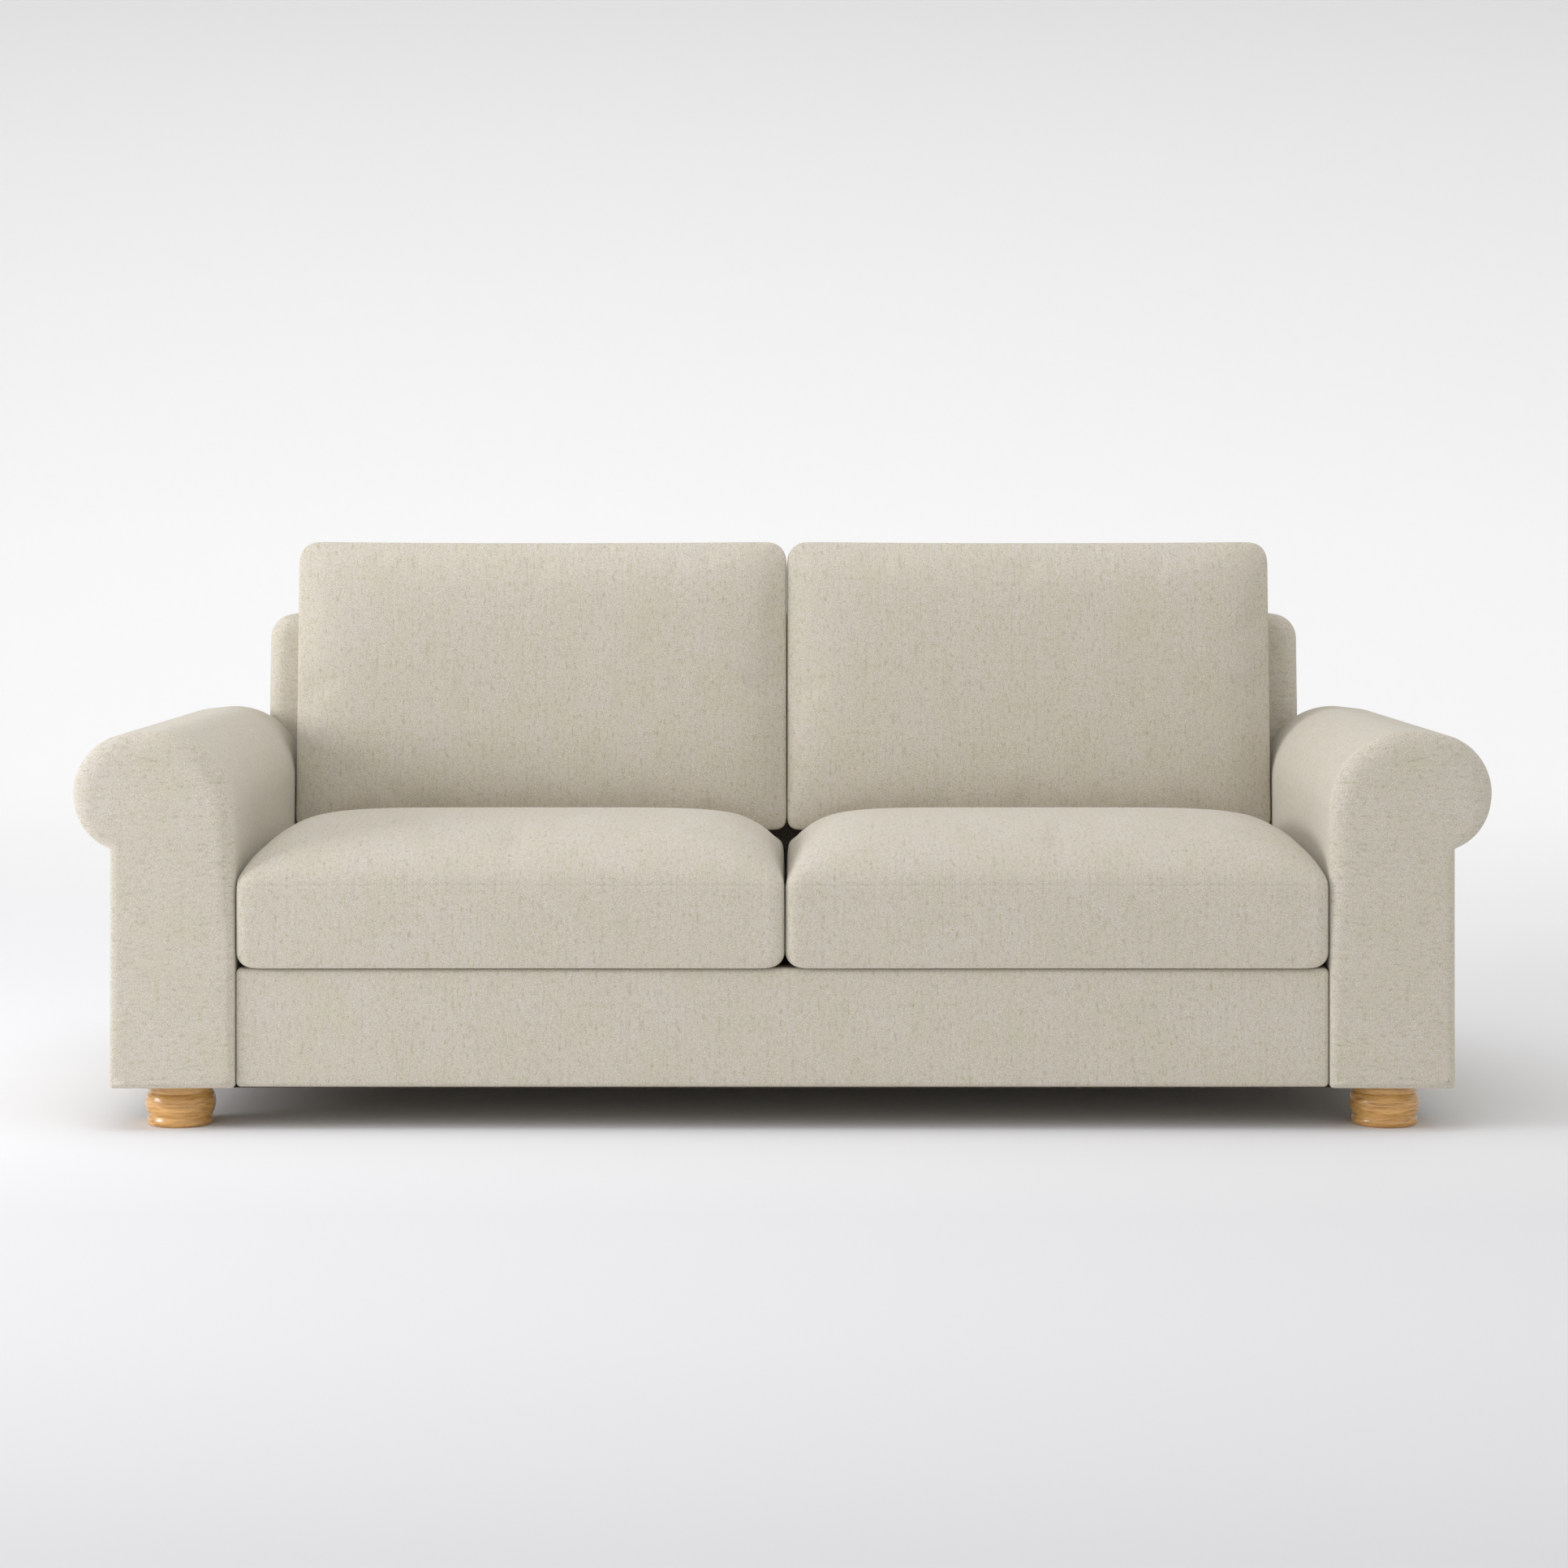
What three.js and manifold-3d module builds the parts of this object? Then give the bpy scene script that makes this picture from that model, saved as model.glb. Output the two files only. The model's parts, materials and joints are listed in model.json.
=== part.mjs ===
// Roll-arm sofa: hardwood frame, sprung seat, padded arms and back, four loose cushions and four turned feet.
// Lengths are millimetres. X runs along the seat, the front faces -Y, Z is up.
// The origin is on the floor under the middle of the sofa.
import * as THREE from 'three';
import Module from 'manifold-3d';
import { mergeVertices } from 'three/addons/utils/BufferGeometryUtils.js';

const wasm = await Module();
wasm.setup();

// Overall sizes
const overallWidth = 2200;
const overallDepth = 920;
const bodyUnderside = 66;
const armHeight = 620;
const deckHeight = 252.7;
const backHeight = 782;
const backHalfWidth = 915;
const rake = THREE.MathUtils.degToRad(5.5);

// Clearances and skins
const gap = 0.3;
const overrun = 40;
const coverThickness = 3;
const clothThickness = 1.5;
const liningGap = 0.4;

// Arm section: flat inner and outer panels under a roll that hangs over the outer one
const rollOverhang = 57;
const armThickness = 195;
const rollRadius = 92;
const rollDrop = 4;
const innerRollRadius = 123;
const rollEdgeRadius = 35;
const panelEdgeRadius = 15;
const armFoamUnderside = 400;
const armOuter = overallWidth / 2 - rollOverhang;
const armInner = armOuter - armThickness;
const rollCentreHeight = armHeight - rollDrop - rollRadius;
const innerRollSteps = 7;
const rollSteps = 11;
const creaseTurn = -0.5;

// Back slab, leaning behind the arms
const backThickness = 192;
const backSetback = overallDepth - backThickness;
const backCornerRadius = 42;
const backCornerSteps = 5;
const backEdgeRadius = 30;

// Seat base
const borderSetback = 8;
const borderThickness = 21.7;
const borderEdgeRadius = 9;
const borderSideGap = 0.4;

// Timber sections
const railThickness = 25;
const facingThickness = 18;
const topRailThickness = 29.6;
const topRailInset = 30;
const postWidth = 45;
const armPostDepth = 44;
const rearArmPostSetback = backSetback - 2 * armPostDepth;
const braceHeight = 130;
const backPostDepth = 70;
const backPostInset = 40;
const backPostTop = backHeight - backPostInset;
const backRailThickness = 25;
const backRailHeight = 45;
const backRailLift = 2.3;
const backBottomRailHeight = deckHeight + backRailLift;
const blockHeight = 60;
const blockDepth = 90;
const frontBlockWidth = 120;
const rearBlockWidth = 90;

// Seat springs: flat zigzag wires between the front and back rails
const springCount = 8;
const springSpacing = 2 * armInner / (springCount + 1);
const springWireRadius = 2;
const springAmplitude = 24;
const springHalfLoops = 12;
const springStepsPerLoop = 4;
const springSeating = 12;
const springSides = 4;

// Seat platform
const deckThickness = 14.4;
const deckSideGap = 0.5;

// Feet and their hanger bolts
const footRadius = 54.8;
const footSegments = 16;
const frontFootX = armInner + armThickness / 2;
const frontFootSetback = 85;
const rearFootFromSide = 79;
const rearFootFromRear = 75;
const rearFootX = backHalfWidth - rearFootFromSide;
const rearFootSetback = overallDepth - rearFootFromRear;
const boltRadius = 4;
const boltIntoFoot = 36;
const boltIntoBlock = 42;
const boltSegments = 8;

// Webbing across the back frame
const webThickness = 2;
const webSideInset = 16;
const webHalfWidth = rearFootX - webSideInset;

// Seat cushions
const seatCushionSetback = 4;
const seatRearGap = 4;
const seatCushionDepth = backSetback - seatCushionSetback - seatRearGap;
const seatSideGap = 1.5;
const seatMiddleGap = 1;
const seatEdgeHeight = 129;
const seatCrown = 93.5;
const seatPeakShare = 0.43;
const seatRearCrownShare = 0.17;
const seatSideLift = 34;
const seatCornerRadius = 42;
const seatBottomRadius = 26;
const seatDrawIn = 2.5;

// Back cushions
const backCushionTop = 911;
const backCushionEdge = 112;
const backCushionCrown = 38;
const backCushionSideGap = 0.8;
const backMiddleGap = 2;
const backMiddleOffset = 6;
const backCushionCornerRadius = 34;
const backCushionBottomRadius = 22;
const backCushionDrawIn = 3;
const cushionRest = 0.6;
const seamInset = 3;
const bulgeShare = 0.55;
const innerCornerShare = 0.33;
const cornerReachShare = 0.9;
const sideShares = [0.12, 0.3, 0.5, 0.7, 0.88];
const cornerSteps = 3;
const drawInSharpness = 8;

// Zips at the back of the seat cushions and under the back cushions
const zipLength = 500;
const zipWidth = 12;

const frontY = -overallDepth / 2;
const rearY = overallDepth / 2;
const coverBottom = bodyUnderside + clothThickness + gap;
const sides = [['left', -1], ['right', 1]];

// Finishes
const finish = (name, color, roughness, metalness = 0) =>
  new THREE.MeshStandardMaterial({ name, color, roughness, metalness });
const linen = () => finish('linen', 0xcfc7b4, 0.95);
const beech = () => finish('beech', 0xb58b5c, 0.7);
const oak = () => finish('oak', 0xc08a4c, 0.3);
const foam = () => finish('foam', 0xe6d9ae, 0.95);
const wadding = () => finish('wadding', 0xf0eee8, 1);
const steel = () => finish('steel', 0x8d9196, 0.4, 0.9);
const cambric = () => finish('cambric', 0x26241f, 0.95);
const webbing = () => finish('webbing', 0x8a7f68, 0.9);
const zipTape = () => finish('zip_tape', 0xb9b09a, 0.8);

const sofa = new THREE.Group();

function addPiece(parent, name, geometry, material, x = 0, y = 0, z = 0) {
  const mesh = new THREE.Mesh(geometry, material);
  mesh.name = name;
  mesh.position.set(x, y, z);
  parent.add(mesh);
  return mesh;
}

// Solids for cutting and joining
function toSolid(geometry) {
  const bare = geometry.clone();
  bare.deleteAttribute('normal');
  bare.deleteAttribute('uv');
  const merged = mergeVertices(bare);
  return new wasm.Manifold(new wasm.Mesh({
    numProp: 3,
    vertProperties: new Float32Array(merged.attributes.position.array),
    triVerts: new Uint32Array(merged.index.array),
  }));
}

function toGeometry(solid) {
  const mesh = solid.getMesh();
  const geometry = new THREE.BufferGeometry();
  geometry.setAttribute('position', new THREE.BufferAttribute(mesh.vertProperties, 3));
  geometry.setIndex(new THREE.BufferAttribute(mesh.triVerts, 1));
  geometry.computeVertexNormals();
  return geometry;
}

function fromLists(points, triangles) {
  const geometry = new THREE.BufferGeometry();
  geometry.setAttribute('position', new THREE.Float32BufferAttribute(points.flat(), 3));
  geometry.setIndex(triangles.flat());
  geometry.computeVertexNormals();
  return geometry;
}

// The same shape on the other side of the middle, with its faces turned back outwards
function onSide(geometry, side) {
  if (side > 0) return geometry;
  const flipped = geometry.clone();
  flipped.scale(-1, 1, 1);
  const index = flipped.index.array;
  for (let i = 0; i < index.length; i += 3) [index[i], index[i + 1]] = [index[i + 1], index[i]];
  flipped.computeVertexNormals();
  return flipped;
}

// A box from its lowest to its highest corner
function boxBetween(low, high) {
  const size = high.map((value, axis) => value - low[axis]);
  const geometry = new THREE.BoxGeometry(...size);
  geometry.translate(...low.map((value, axis) => value + size[axis] / 2));
  return geometry;
}

// Faces that run across the sofa, as distances behind the front at a height
const atFront = () => 0;
const atRear = () => overallDepth;
const backFaceSetback = (z) => backSetback + (z - deckHeight) * Math.tan(rake);

// Triangles that join rings of equally many points into an open tube
function stitch(rings) {
  const count = rings[0].length;
  const triangles = [];
  for (let ring = 0; ring + 1 < rings.length; ring += 1) {
    for (let i = 0; i < count; i += 1) {
      const a = ring * count + i;
      const b = ring * count + (i + 1) % count;
      triangles.push([a, b, a + count], [b, b + count, a + count]);
    }
  }
  return triangles;
}

// A padded block: an outline in X and Z, drawn in along its rounded front and rear edges.
// Each outline point has its own outward direction and edge radius. shrink moves the whole skin inwards.
function paddedBlock(outline, frontFace, rearFace, shrink, edgeSteps = 4) {
  const rings = [];
  const ringAt = (turn, atRearEnd) => outline.map((point) => {
    const inset = shrink + point.radius * (1 - Math.sin(turn));
    const x = point.x - point.nx * inset;
    const z = point.z - point.nz * inset;
    const stepBack = shrink + point.radius * (1 - Math.cos(turn));
    return [x, frontY + (atRearEnd ? rearFace(z) - stepBack : frontFace(z) + stepBack), z];
  });
  for (let step = 0; step <= edgeSteps; step += 1) rings.push(ringAt(step / edgeSteps * Math.PI / 2, false));
  for (let step = edgeSteps; step >= 0; step -= 1) rings.push(ringAt(step / edgeSteps * Math.PI / 2, true));
  const flat = rings[0].map(([x, , z]) => new THREE.Vector2(x, z));
  const triangles = stitch(rings);
  const last = (rings.length - 1) * outline.length;
  for (const [a, b, c] of THREE.ShapeUtils.triangulateShape(flat, [])) {
    triangles.push([a, b, c], [last + a, last + c, last + b]);
  }
  return fromLists(rings.flat(), triangles);
}

// Points on an arc, each with its outward direction
function arcPoints(centreX, centreZ, radius, edgeRadius, fromAngle, toAngle, steps) {
  return Array.from({ length: steps + 1 }, (_, i) => {
    const angle = THREE.MathUtils.lerp(fromAngle, toAngle, i / steps);
    const nx = Math.cos(angle);
    const nz = Math.sin(angle);
    return { x: centreX + radius * nx, z: centreZ + radius * nz, nx, nz, radius: edgeRadius };
  });
}

// The right arm's section, walked from the foot of its inner panel over the top to the foot of its outer one
function armOutline(bottom) {
  const innerCentreX = armInner + innerRollRadius;
  const innerCentreZ = armHeight - innerRollRadius;
  const rollCentreX = overallWidth / 2 - rollRadius;
  const spanX = rollCentreX - innerCentreX;
  const spanZ = rollCentreHeight - innerCentreZ;
  const tangent = Math.atan2(spanZ, spanX)
    + Math.acos((innerRollRadius - rollRadius) / Math.hypot(spanX, spanZ));
  const crease = -Math.acos((armOuter - rollCentreX) / rollRadius);
  const innerPanel = { nx: -1, nz: 0, radius: panelEdgeRadius };
  const outerPanel = { nx: 1, radius: panelEdgeRadius };
  return [
    { ...innerPanel, x: armInner, z: bottom },
    { ...innerPanel, x: armInner, z: deckHeight },
    ...arcPoints(innerCentreX, innerCentreZ, innerRollRadius, rollEdgeRadius,
      Math.PI, tangent, innerRollSteps),
    ...arcPoints(rollCentreX, rollCentreHeight, rollRadius, rollEdgeRadius,
      tangent, crease, rollSteps).slice(0, -1),
    { ...outerPanel, x: armOuter, z: rollCentreHeight + rollRadius * Math.sin(crease), nz: creaseTurn },
    { ...outerPanel, x: armOuter, z: bottom, nz: 0 },
  ];
}

// The back's section: an upright panel with rounded top corners
function backOutline(bottom) {
  const cornerX = backHalfWidth - backCornerRadius;
  const cornerZ = backHeight - backCornerRadius;
  const corner = (x, from, to) =>
    arcPoints(x, cornerZ, backCornerRadius, backEdgeRadius, from, to, backCornerSteps);
  const side = { nz: 0, radius: backEdgeRadius };
  return [
    { ...side, x: -backHalfWidth, z: bottom, nx: -1 },
    ...corner(-cornerX, Math.PI, Math.PI / 2),
    ...corner(cornerX, Math.PI / 2, 0),
    { ...side, x: backHalfWidth, z: bottom, nx: 1 },
  ];
}

const armBlock = (bottom, shrink) =>
  paddedBlock(armOutline(bottom), atFront, (z) => backFaceSetback(z) - gap, shrink);
const backBlock = (bottom, shrink) => paddedBlock(backOutline(bottom), backFaceSetback, atRear, shrink);

// A cover is open underneath, where it is stapled to the rails
function openCover(block) {
  const inside = toSolid(block(coverBottom - overrun, coverThickness));
  return toGeometry(toSolid(block(coverBottom, 0)).subtract(inside));
}

// Padding fills its cover between two corners of a box
function paddingIn(block, low, high) {
  const filling = toSolid(block(coverBottom, coverThickness + liningGap));
  return toGeometry(filling.intersect(toSolid(boxBetween(low, high))));
}

// Heights and setbacks that several pieces share
const springTop = deckHeight - deckThickness - gap;
const railTop = springTop - 2 * springWireRadius - gap;
const cavityInner = armInner + coverThickness + gap;
const facingFront = coverThickness + gap;
const facingBack = facingFront + facingThickness;
const borderBack = borderSetback + borderThickness;
const frontRailSetback = borderBack + gap;
const frontRailBack = frontRailSetback + railThickness;
const backRailBack = backFaceSetback(coverBottom) - gap;
const backRailSetback = backRailBack - railThickness;
const blockTop = coverBottom + blockHeight;
const topRailTop = armFoamUnderside - gap;
const topRailBottom = topRailTop - topRailThickness;
const baseHalfWidth = armInner - borderSideGap;
const postInner = cavityInner + railThickness + gap;
const backFrameBack = overallDepth - coverThickness - gap;
const backFrameSetback = backFrameBack - backPostDepth;
const webSetback = backFrameSetback - gap - webThickness;

// Box by its reach across, its setbacks from the front and its heights
function slab(fromX, toX, fromSetback, toSetback, fromZ, toZ) {
  return boxBetween([fromX, frontY + fromSetback, fromZ], [toX, frontY + toSetback, toZ]);
}

// Front rail, back rail and the brace between them
function addSeatRails() {
  const rail = (from, to, top) => slab(-baseHalfWidth, baseHalfWidth, from, to, coverBottom, top);
  addPiece(sofa, 'front_seat_rail', rail(frontRailSetback, frontRailBack, railTop), beech());
  addPiece(sofa, 'back_seat_rail', rail(backRailSetback, backRailBack, railTop), beech());
  const brace = slab(-railThickness / 2, railThickness / 2, frontRailBack + gap, backRailSetback - gap,
    coverBottom, coverBottom + braceHeight);
  addPiece(sofa, 'centre_brace', brace, beech());
}

// One arm's timber: bottom rail, two posts, top rail and the facing board in the shape of the arm
function addArmFrame(name, side) {
  const timber = (piece, geometry) => addPiece(sofa, `${name}_${piece}`, onSide(geometry, side), beech());
  const topRailBack = backFaceSetback(topRailBottom) - gap - coverThickness - gap;
  timber('side_rail', slab(cavityInner, cavityInner + railThickness, facingBack + gap,
    rearArmPostSetback + armPostDepth, coverBottom, railTop));
  timber('front_arm_post', slab(postInner, postInner + postWidth, facingBack + gap,
    facingBack + gap + armPostDepth, blockTop + gap, topRailBottom - gap));
  timber('rear_arm_post', slab(postInner, postInner + postWidth, rearArmPostSetback,
    rearArmPostSetback + armPostDepth, coverBottom, topRailBottom - gap));
  timber('arm_top_rail', slab(armInner + topRailInset, armOuter - topRailInset, facingBack + gap,
    topRailBack, topRailBottom, topRailTop));
  timber('arm_facing', facingBoard());
}

function facingBoard() {
  const outline = armOutline(coverBottom).map((point) => {
    const inset = point.radius + coverThickness + gap;
    return new THREE.Vector2(point.x - point.nx * inset, point.z - point.nz * inset);
  });
  const options = { depth: facingThickness, bevelEnabled: false };
  const board = new THREE.ExtrudeGeometry(new THREE.Shape(outline), options);
  board.rotateX(Math.PI / 2);
  board.translate(0, frontY + facingBack, 0);
  return mergeVertices(board.deleteAttribute('normal').deleteAttribute('uv'));
}

// Two posts, two rails and a middle upright hold the back
function addBackFrame() {
  const postOuter = rearFootX + rearBlockWidth / 2;
  const postInnerX = postOuter - postWidth;
  const front = backFrameSetback;
  for (const [name, side] of sides) {
    const post = slab(postInnerX, postOuter, front, backFrameBack, blockTop + gap, backPostTop);
    addPiece(sofa, `${name}_back_post`, onSide(post, side), beech());
  }
  const reach = postInnerX - gap;
  const railBack = front + backRailThickness;
  const rail = (bottom) => slab(-reach, reach, front, railBack, bottom, bottom + backRailHeight);
  addPiece(sofa, 'back_top_rail', rail(backPostTop - backRailHeight), beech());
  addPiece(sofa, 'back_bottom_rail', rail(backBottomRailHeight), beech());
  const upright = slab(-postWidth / 2, postWidth / 2, front, railBack,
    backBottomRailHeight + backRailHeight + gap, backPostTop - backRailHeight - gap);
  addPiece(sofa, 'back_centre_post', upright, beech());
}

// A board with a round hole through it, lying flat between two heights
function boredBoard(outline, holes, thickness) {
  const shape = new THREE.Shape(outline.map(([x, y]) => new THREE.Vector2(x, y)));
  for (const [x, y] of holes) {
    const hole = new THREE.Path();
    for (let i = 0; i < boltSegments; i += 1) {
      const angle = -i / boltSegments * Math.PI * 2;
      const reach = boltRadius + gap;
      const place = [x + reach * Math.cos(angle), y + reach * Math.sin(angle)];
      if (i === 0) hole.moveTo(...place);
      else hole.lineTo(...place);
    }
    hole.closePath();
    shape.holes.push(hole);
  }
  return new THREE.ExtrudeGeometry(shape, { depth: thickness, bevelEnabled: false });
}

const rectangle = (halfX, halfY) => [[-halfX, -halfY], [halfX, -halfY], [halfX, halfY], [-halfX, halfY]];

const feet = [
  ['front', frontFootX, frontFootSetback, frontBlockWidth],
  ['rear', rearFootX, rearFootSetback, rearBlockWidth],
];

// The turned profile of a foot: base ring, crease, bun, crease and neck.
// Each row holds a share of the foot's radius and a share of its height.
const footProfileShares = [
  [0.9, 0], [0.935, 0.045], [0.943, 0.105], [0.928, 0.175], [0.9, 0.22], [0.922, 0.26], [0.968, 0.35],
  [0.997, 0.455], [1, 0.545], [0.982, 0.65], [0.94, 0.745], [0.905, 0.79], [0.917, 0.83], [0.89, 1],
];

function footGeometry() {
  const height = bodyUnderside - gap;
  const outline = footProfileShares.map(
    ([radiusShare, heightShare]) => new THREE.Vector2(radiusShare * footRadius, heightShare * height));
  const bore = boltRadius + gap;
  const boreBottom = height - boltIntoFoot - gap;
  return new THREE.LatheGeometry([
    new THREE.Vector2(0, 0), ...outline,
    new THREE.Vector2(bore, height), new THREE.Vector2(bore, boreBottom), new THREE.Vector2(0, boreBottom),
  ], footSegments).rotateX(Math.PI / 2);
}

// Feet, the corner blocks above them and the hanger bolts that join the two
function addFeet() {
  for (const [end, footX, setback, blockWidth] of feet) {
    for (const [name, side] of sides) {
      const x = side * footX;
      const y = frontY + setback;
      addPiece(sofa, `${end}_${name}_foot`, footGeometry(), oak(), x, y, 0);
      const block = boredBoard(rectangle(blockWidth / 2, blockDepth / 2), [[0, 0]], blockHeight);
      addPiece(sofa, `${end}_${name}_corner_block`, block, beech(), x, y, coverBottom);
      const length = boltIntoFoot + boltIntoBlock;
      const bolt = new THREE.CylinderGeometry(boltRadius, boltRadius, length, boltSegments);
      addPiece(sofa, `${end}_${name}_hanger_bolt`, bolt.rotateX(Math.PI / 2), steel(), x, y,
        bodyUnderside - gap - boltIntoFoot + length / 2);
    }
  }
}

// A black cloth closes the underside, cut round the narrower back and pierced by the bolts
function addDustCover() {
  const margin = railThickness / 2;
  const shoulder = backFaceSetback(bodyUnderside) - margin;
  const right = [
    [armOuter - margin, margin], [armOuter - margin, shoulder],
    [backHalfWidth - margin, shoulder], [backHalfWidth - margin, overallDepth - margin],
  ];
  const outline = [...right, ...right.map(([x, setback]) => [-x, setback]).reverse()]
    .map(([x, setback]) => [x, frontY + setback]);
  const holes = feet.flatMap(([, x, setback]) => sides.map(([, side]) => [side * x, frontY + setback]));
  addPiece(sofa, 'dust_cover', boredBoard(outline, holes, clothThickness), cambric(), 0, 0, bodyUnderside);
}

// Flat zigzag spring, its ends lying on the two rails
function springGeometry() {
  const start = frontRailSetback + springSeating;
  const end = backRailBack - springSeating;
  const steps = springHalfLoops * springStepsPerLoop;
  const points = Array.from({ length: steps + 1 }, (_, i) => {
    const turn = i / springStepsPerLoop * Math.PI;
    return new THREE.Vector3(springAmplitude * Math.sin(turn), frontY + start + (end - start) * i / steps, 0);
  });
  const section = new THREE.Shape(Array.from({ length: springSides }, (_, i) => {
    const angle = i / springSides * Math.PI * 2;
    return new THREE.Vector2(Math.cos(angle), Math.sin(angle)).multiplyScalar(springWireRadius);
  }));
  return new THREE.ExtrudeGeometry(section, { steps, extrudePath: new THREE.CatmullRomCurve3(points) });
}

function addSprings() {
  for (let i = 0; i < springCount; i += 1) {
    const x = (i - (springCount - 1) / 2) * springSpacing;
    addPiece(sofa, `seat_spring_${i + 1}`, springGeometry(), steel(), x, 0, springTop - springWireRadius);
  }
}

// Padded platform on the springs, and the webbing across the back frame
function addPlatforms() {
  const deckHalf = armInner - deckSideGap;
  const deckBottom = deckHeight - deckThickness;
  const deckBack = backFaceSetback(deckBottom) - gap;
  const deck = slab(-deckHalf, deckHalf, frontRailSetback, deckBack, deckBottom, deckHeight);
  addPiece(sofa, 'seat_deck', deck, webbing());
  const web = slab(-webHalfWidth, webHalfWidth, webSetback, webSetback + webThickness,
    backBottomRailHeight + backRailHeight / 2, backPostTop - backRailHeight / 2);
  addPiece(sofa, 'back_webbing', web, webbing());
}

// Padded front of the seat base, its section rounded along the front edges
function addFrontBorder() {
  const top = deckHeight - gap;
  const r = borderEdgeRadius;
  const section = new THREE.Shape()
    .moveTo(borderThickness, coverBottom)
    .lineTo(borderThickness, top)
    .lineTo(r, top)
    .quadraticCurveTo(0, top, 0, top - r)
    .lineTo(0, coverBottom + r)
    .quadraticCurveTo(0, coverBottom, r, coverBottom);
  const options = { depth: 2 * baseHalfWidth, bevelEnabled: false, curveSegments: 4 };
  const border = new THREE.ExtrudeGeometry(section, options);
  border.rotateX(Math.PI / 2).rotateZ(Math.PI / 2);
  border.translate(-baseHalfWidth, frontY + borderSetback, 0);
  addPiece(sofa, 'front_border', border, linen());
}

// Arms and back: foam inside, cover outside
function addUpholstery() {
  const top = backHeight + overrun;
  const wide = overallWidth / 2 + overrun;
  const armCover = openCover(armBlock);
  const armFoam = paddingIn(armBlock, [0, frontY + facingBack + gap, armFoamUnderside], [wide, rearY, top]);
  for (const [name, side] of sides) {
    addPiece(sofa, `${name}_arm_foam`, onSide(armFoam, side), foam());
    addPiece(sofa, `${name}_arm_cover`, onSide(armCover, side), linen());
  }
  const backFoam = paddingIn(backBlock,
    [-wide, frontY, backBottomRailHeight], [wide, frontY + webSetback - gap, top]);
  addPiece(sofa, 'back_foam', backFoam, foam());
  addPiece(sofa, 'back_cover', openCover(backBlock), linen());
}

// A cushion lies on its flat face: X across, Y from its near edge, Z up to its crown.
// crownAt gives the height share of the crown at a place, from 0 on the edge to 1.
function cushionRings(cushion, shrink, margins) {
  const { width, depth, edge, cornerRadius, bottomRadius, drawIn } = cushion;
  const topAt = (x, y) => edge + cushion.crown * cushion.crownAt(2 * x / width, y / depth);
  const ring = (margin, heightAt) => planOutline(width, depth, margin + shrink, cornerRadius, drawIn)
    .map(([x, y]) => [x, y, heightAt(x, y)]);
  const low = bottomRadius * (1 - Math.SQRT1_2);
  const bulge = edge * bulgeShare;
  const rings = [
    ring(bottomRadius, () => shrink),
    ring(low, () => low + shrink / 2),
    ring(0, () => bottomRadius),
    ring(0, () => bulge),
    ring(cushion.seamInset, (x, y) => topAt(x, y) - shrink),
  ];
  for (const margin of margins) rings.push(ring(margin, (x, y) => topAt(x, y) - shrink));
  return { rings, topAt };
}

// Rounded rectangle that pulls in slightly along its sides
function planOutline(width, depth, margin, cornerRadius, drawIn) {
  const halfX = width / 2 - margin;
  const halfY = depth / 2 - margin;
  const r = Math.min(Math.max(cornerRadius - margin, cornerRadius * innerCornerShare),
    halfX * cornerReachShare, halfY * cornerReachShare);
  const points = [];
  const corners = [[1, -1, -0.5], [1, 1, 0], [-1, 1, 0.5], [-1, -1, 1]];
  corners.forEach(([sx, sy, startTurn], corner) => {
    for (let i = 0; i <= cornerSteps; i += 1) {
      const angle = (startTurn + i / cornerSteps / 2) * Math.PI;
      points.push([sx * (halfX - r) + r * Math.cos(angle), sy * (halfY - r) + r * Math.sin(angle)]);
    }
    const [nextX, nextY] = corners[(corner + 1) % 4];
    const from = points.at(-1);
    const turn = (startTurn + 0.5) * Math.PI;
    const to = [nextX * (halfX - r) + r * Math.cos(turn), nextY * (halfY - r) + r * Math.sin(turn)];
    for (const share of sideShares) {
      points.push([THREE.MathUtils.lerp(from[0], to[0], share), THREE.MathUtils.lerp(from[1], to[1], share)]);
    }
  });
  return points.map(([x, y]) => {
    const pullX = drawIn * Math.max(0, 1 - (y / halfY) ** 2) * Math.abs(x / halfX) ** drawInSharpness;
    const pullY = drawIn * Math.max(0, 1 - (x / halfX) ** 2) * Math.abs(y / halfY) ** drawInSharpness;
    return [x - Math.sign(x) * pullX, y - Math.sign(y) * pullY + depth / 2];
  });
}

// Closed cushion skin: the rings, with a fan to the middle of the underside and of the crown
function cushionSkin(cushion, shrink, marginShares) {
  const least = Math.min(cushion.width, cushion.depth) / 2;
  const margins = marginShares.map((share) => share * least);
  const { rings, topAt } = cushionRings(cushion, shrink, margins);
  const count = rings[0].length;
  const points = rings.flat();
  const triangles = stitch(rings);
  const middle = cushion.depth / 2;
  const underside = points.push([0, middle, shrink]) - 1;
  const crown = points.push([0, middle, topAt(0, middle) - shrink]) - 1;
  const last = (rings.length - 1) * count;
  for (let i = 0; i < count; i += 1) {
    const next = (i + 1) % count;
    triangles.push([next, i, underside], [last + i, last + next, crown]);
  }
  return fromLists(points, triangles);
}

const fineMarginShares = [0.035, 0.09, 0.18, 0.32, 0.5, 0.75];
const coarseMarginShares = [0.09, 0.32, 0.75];

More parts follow.
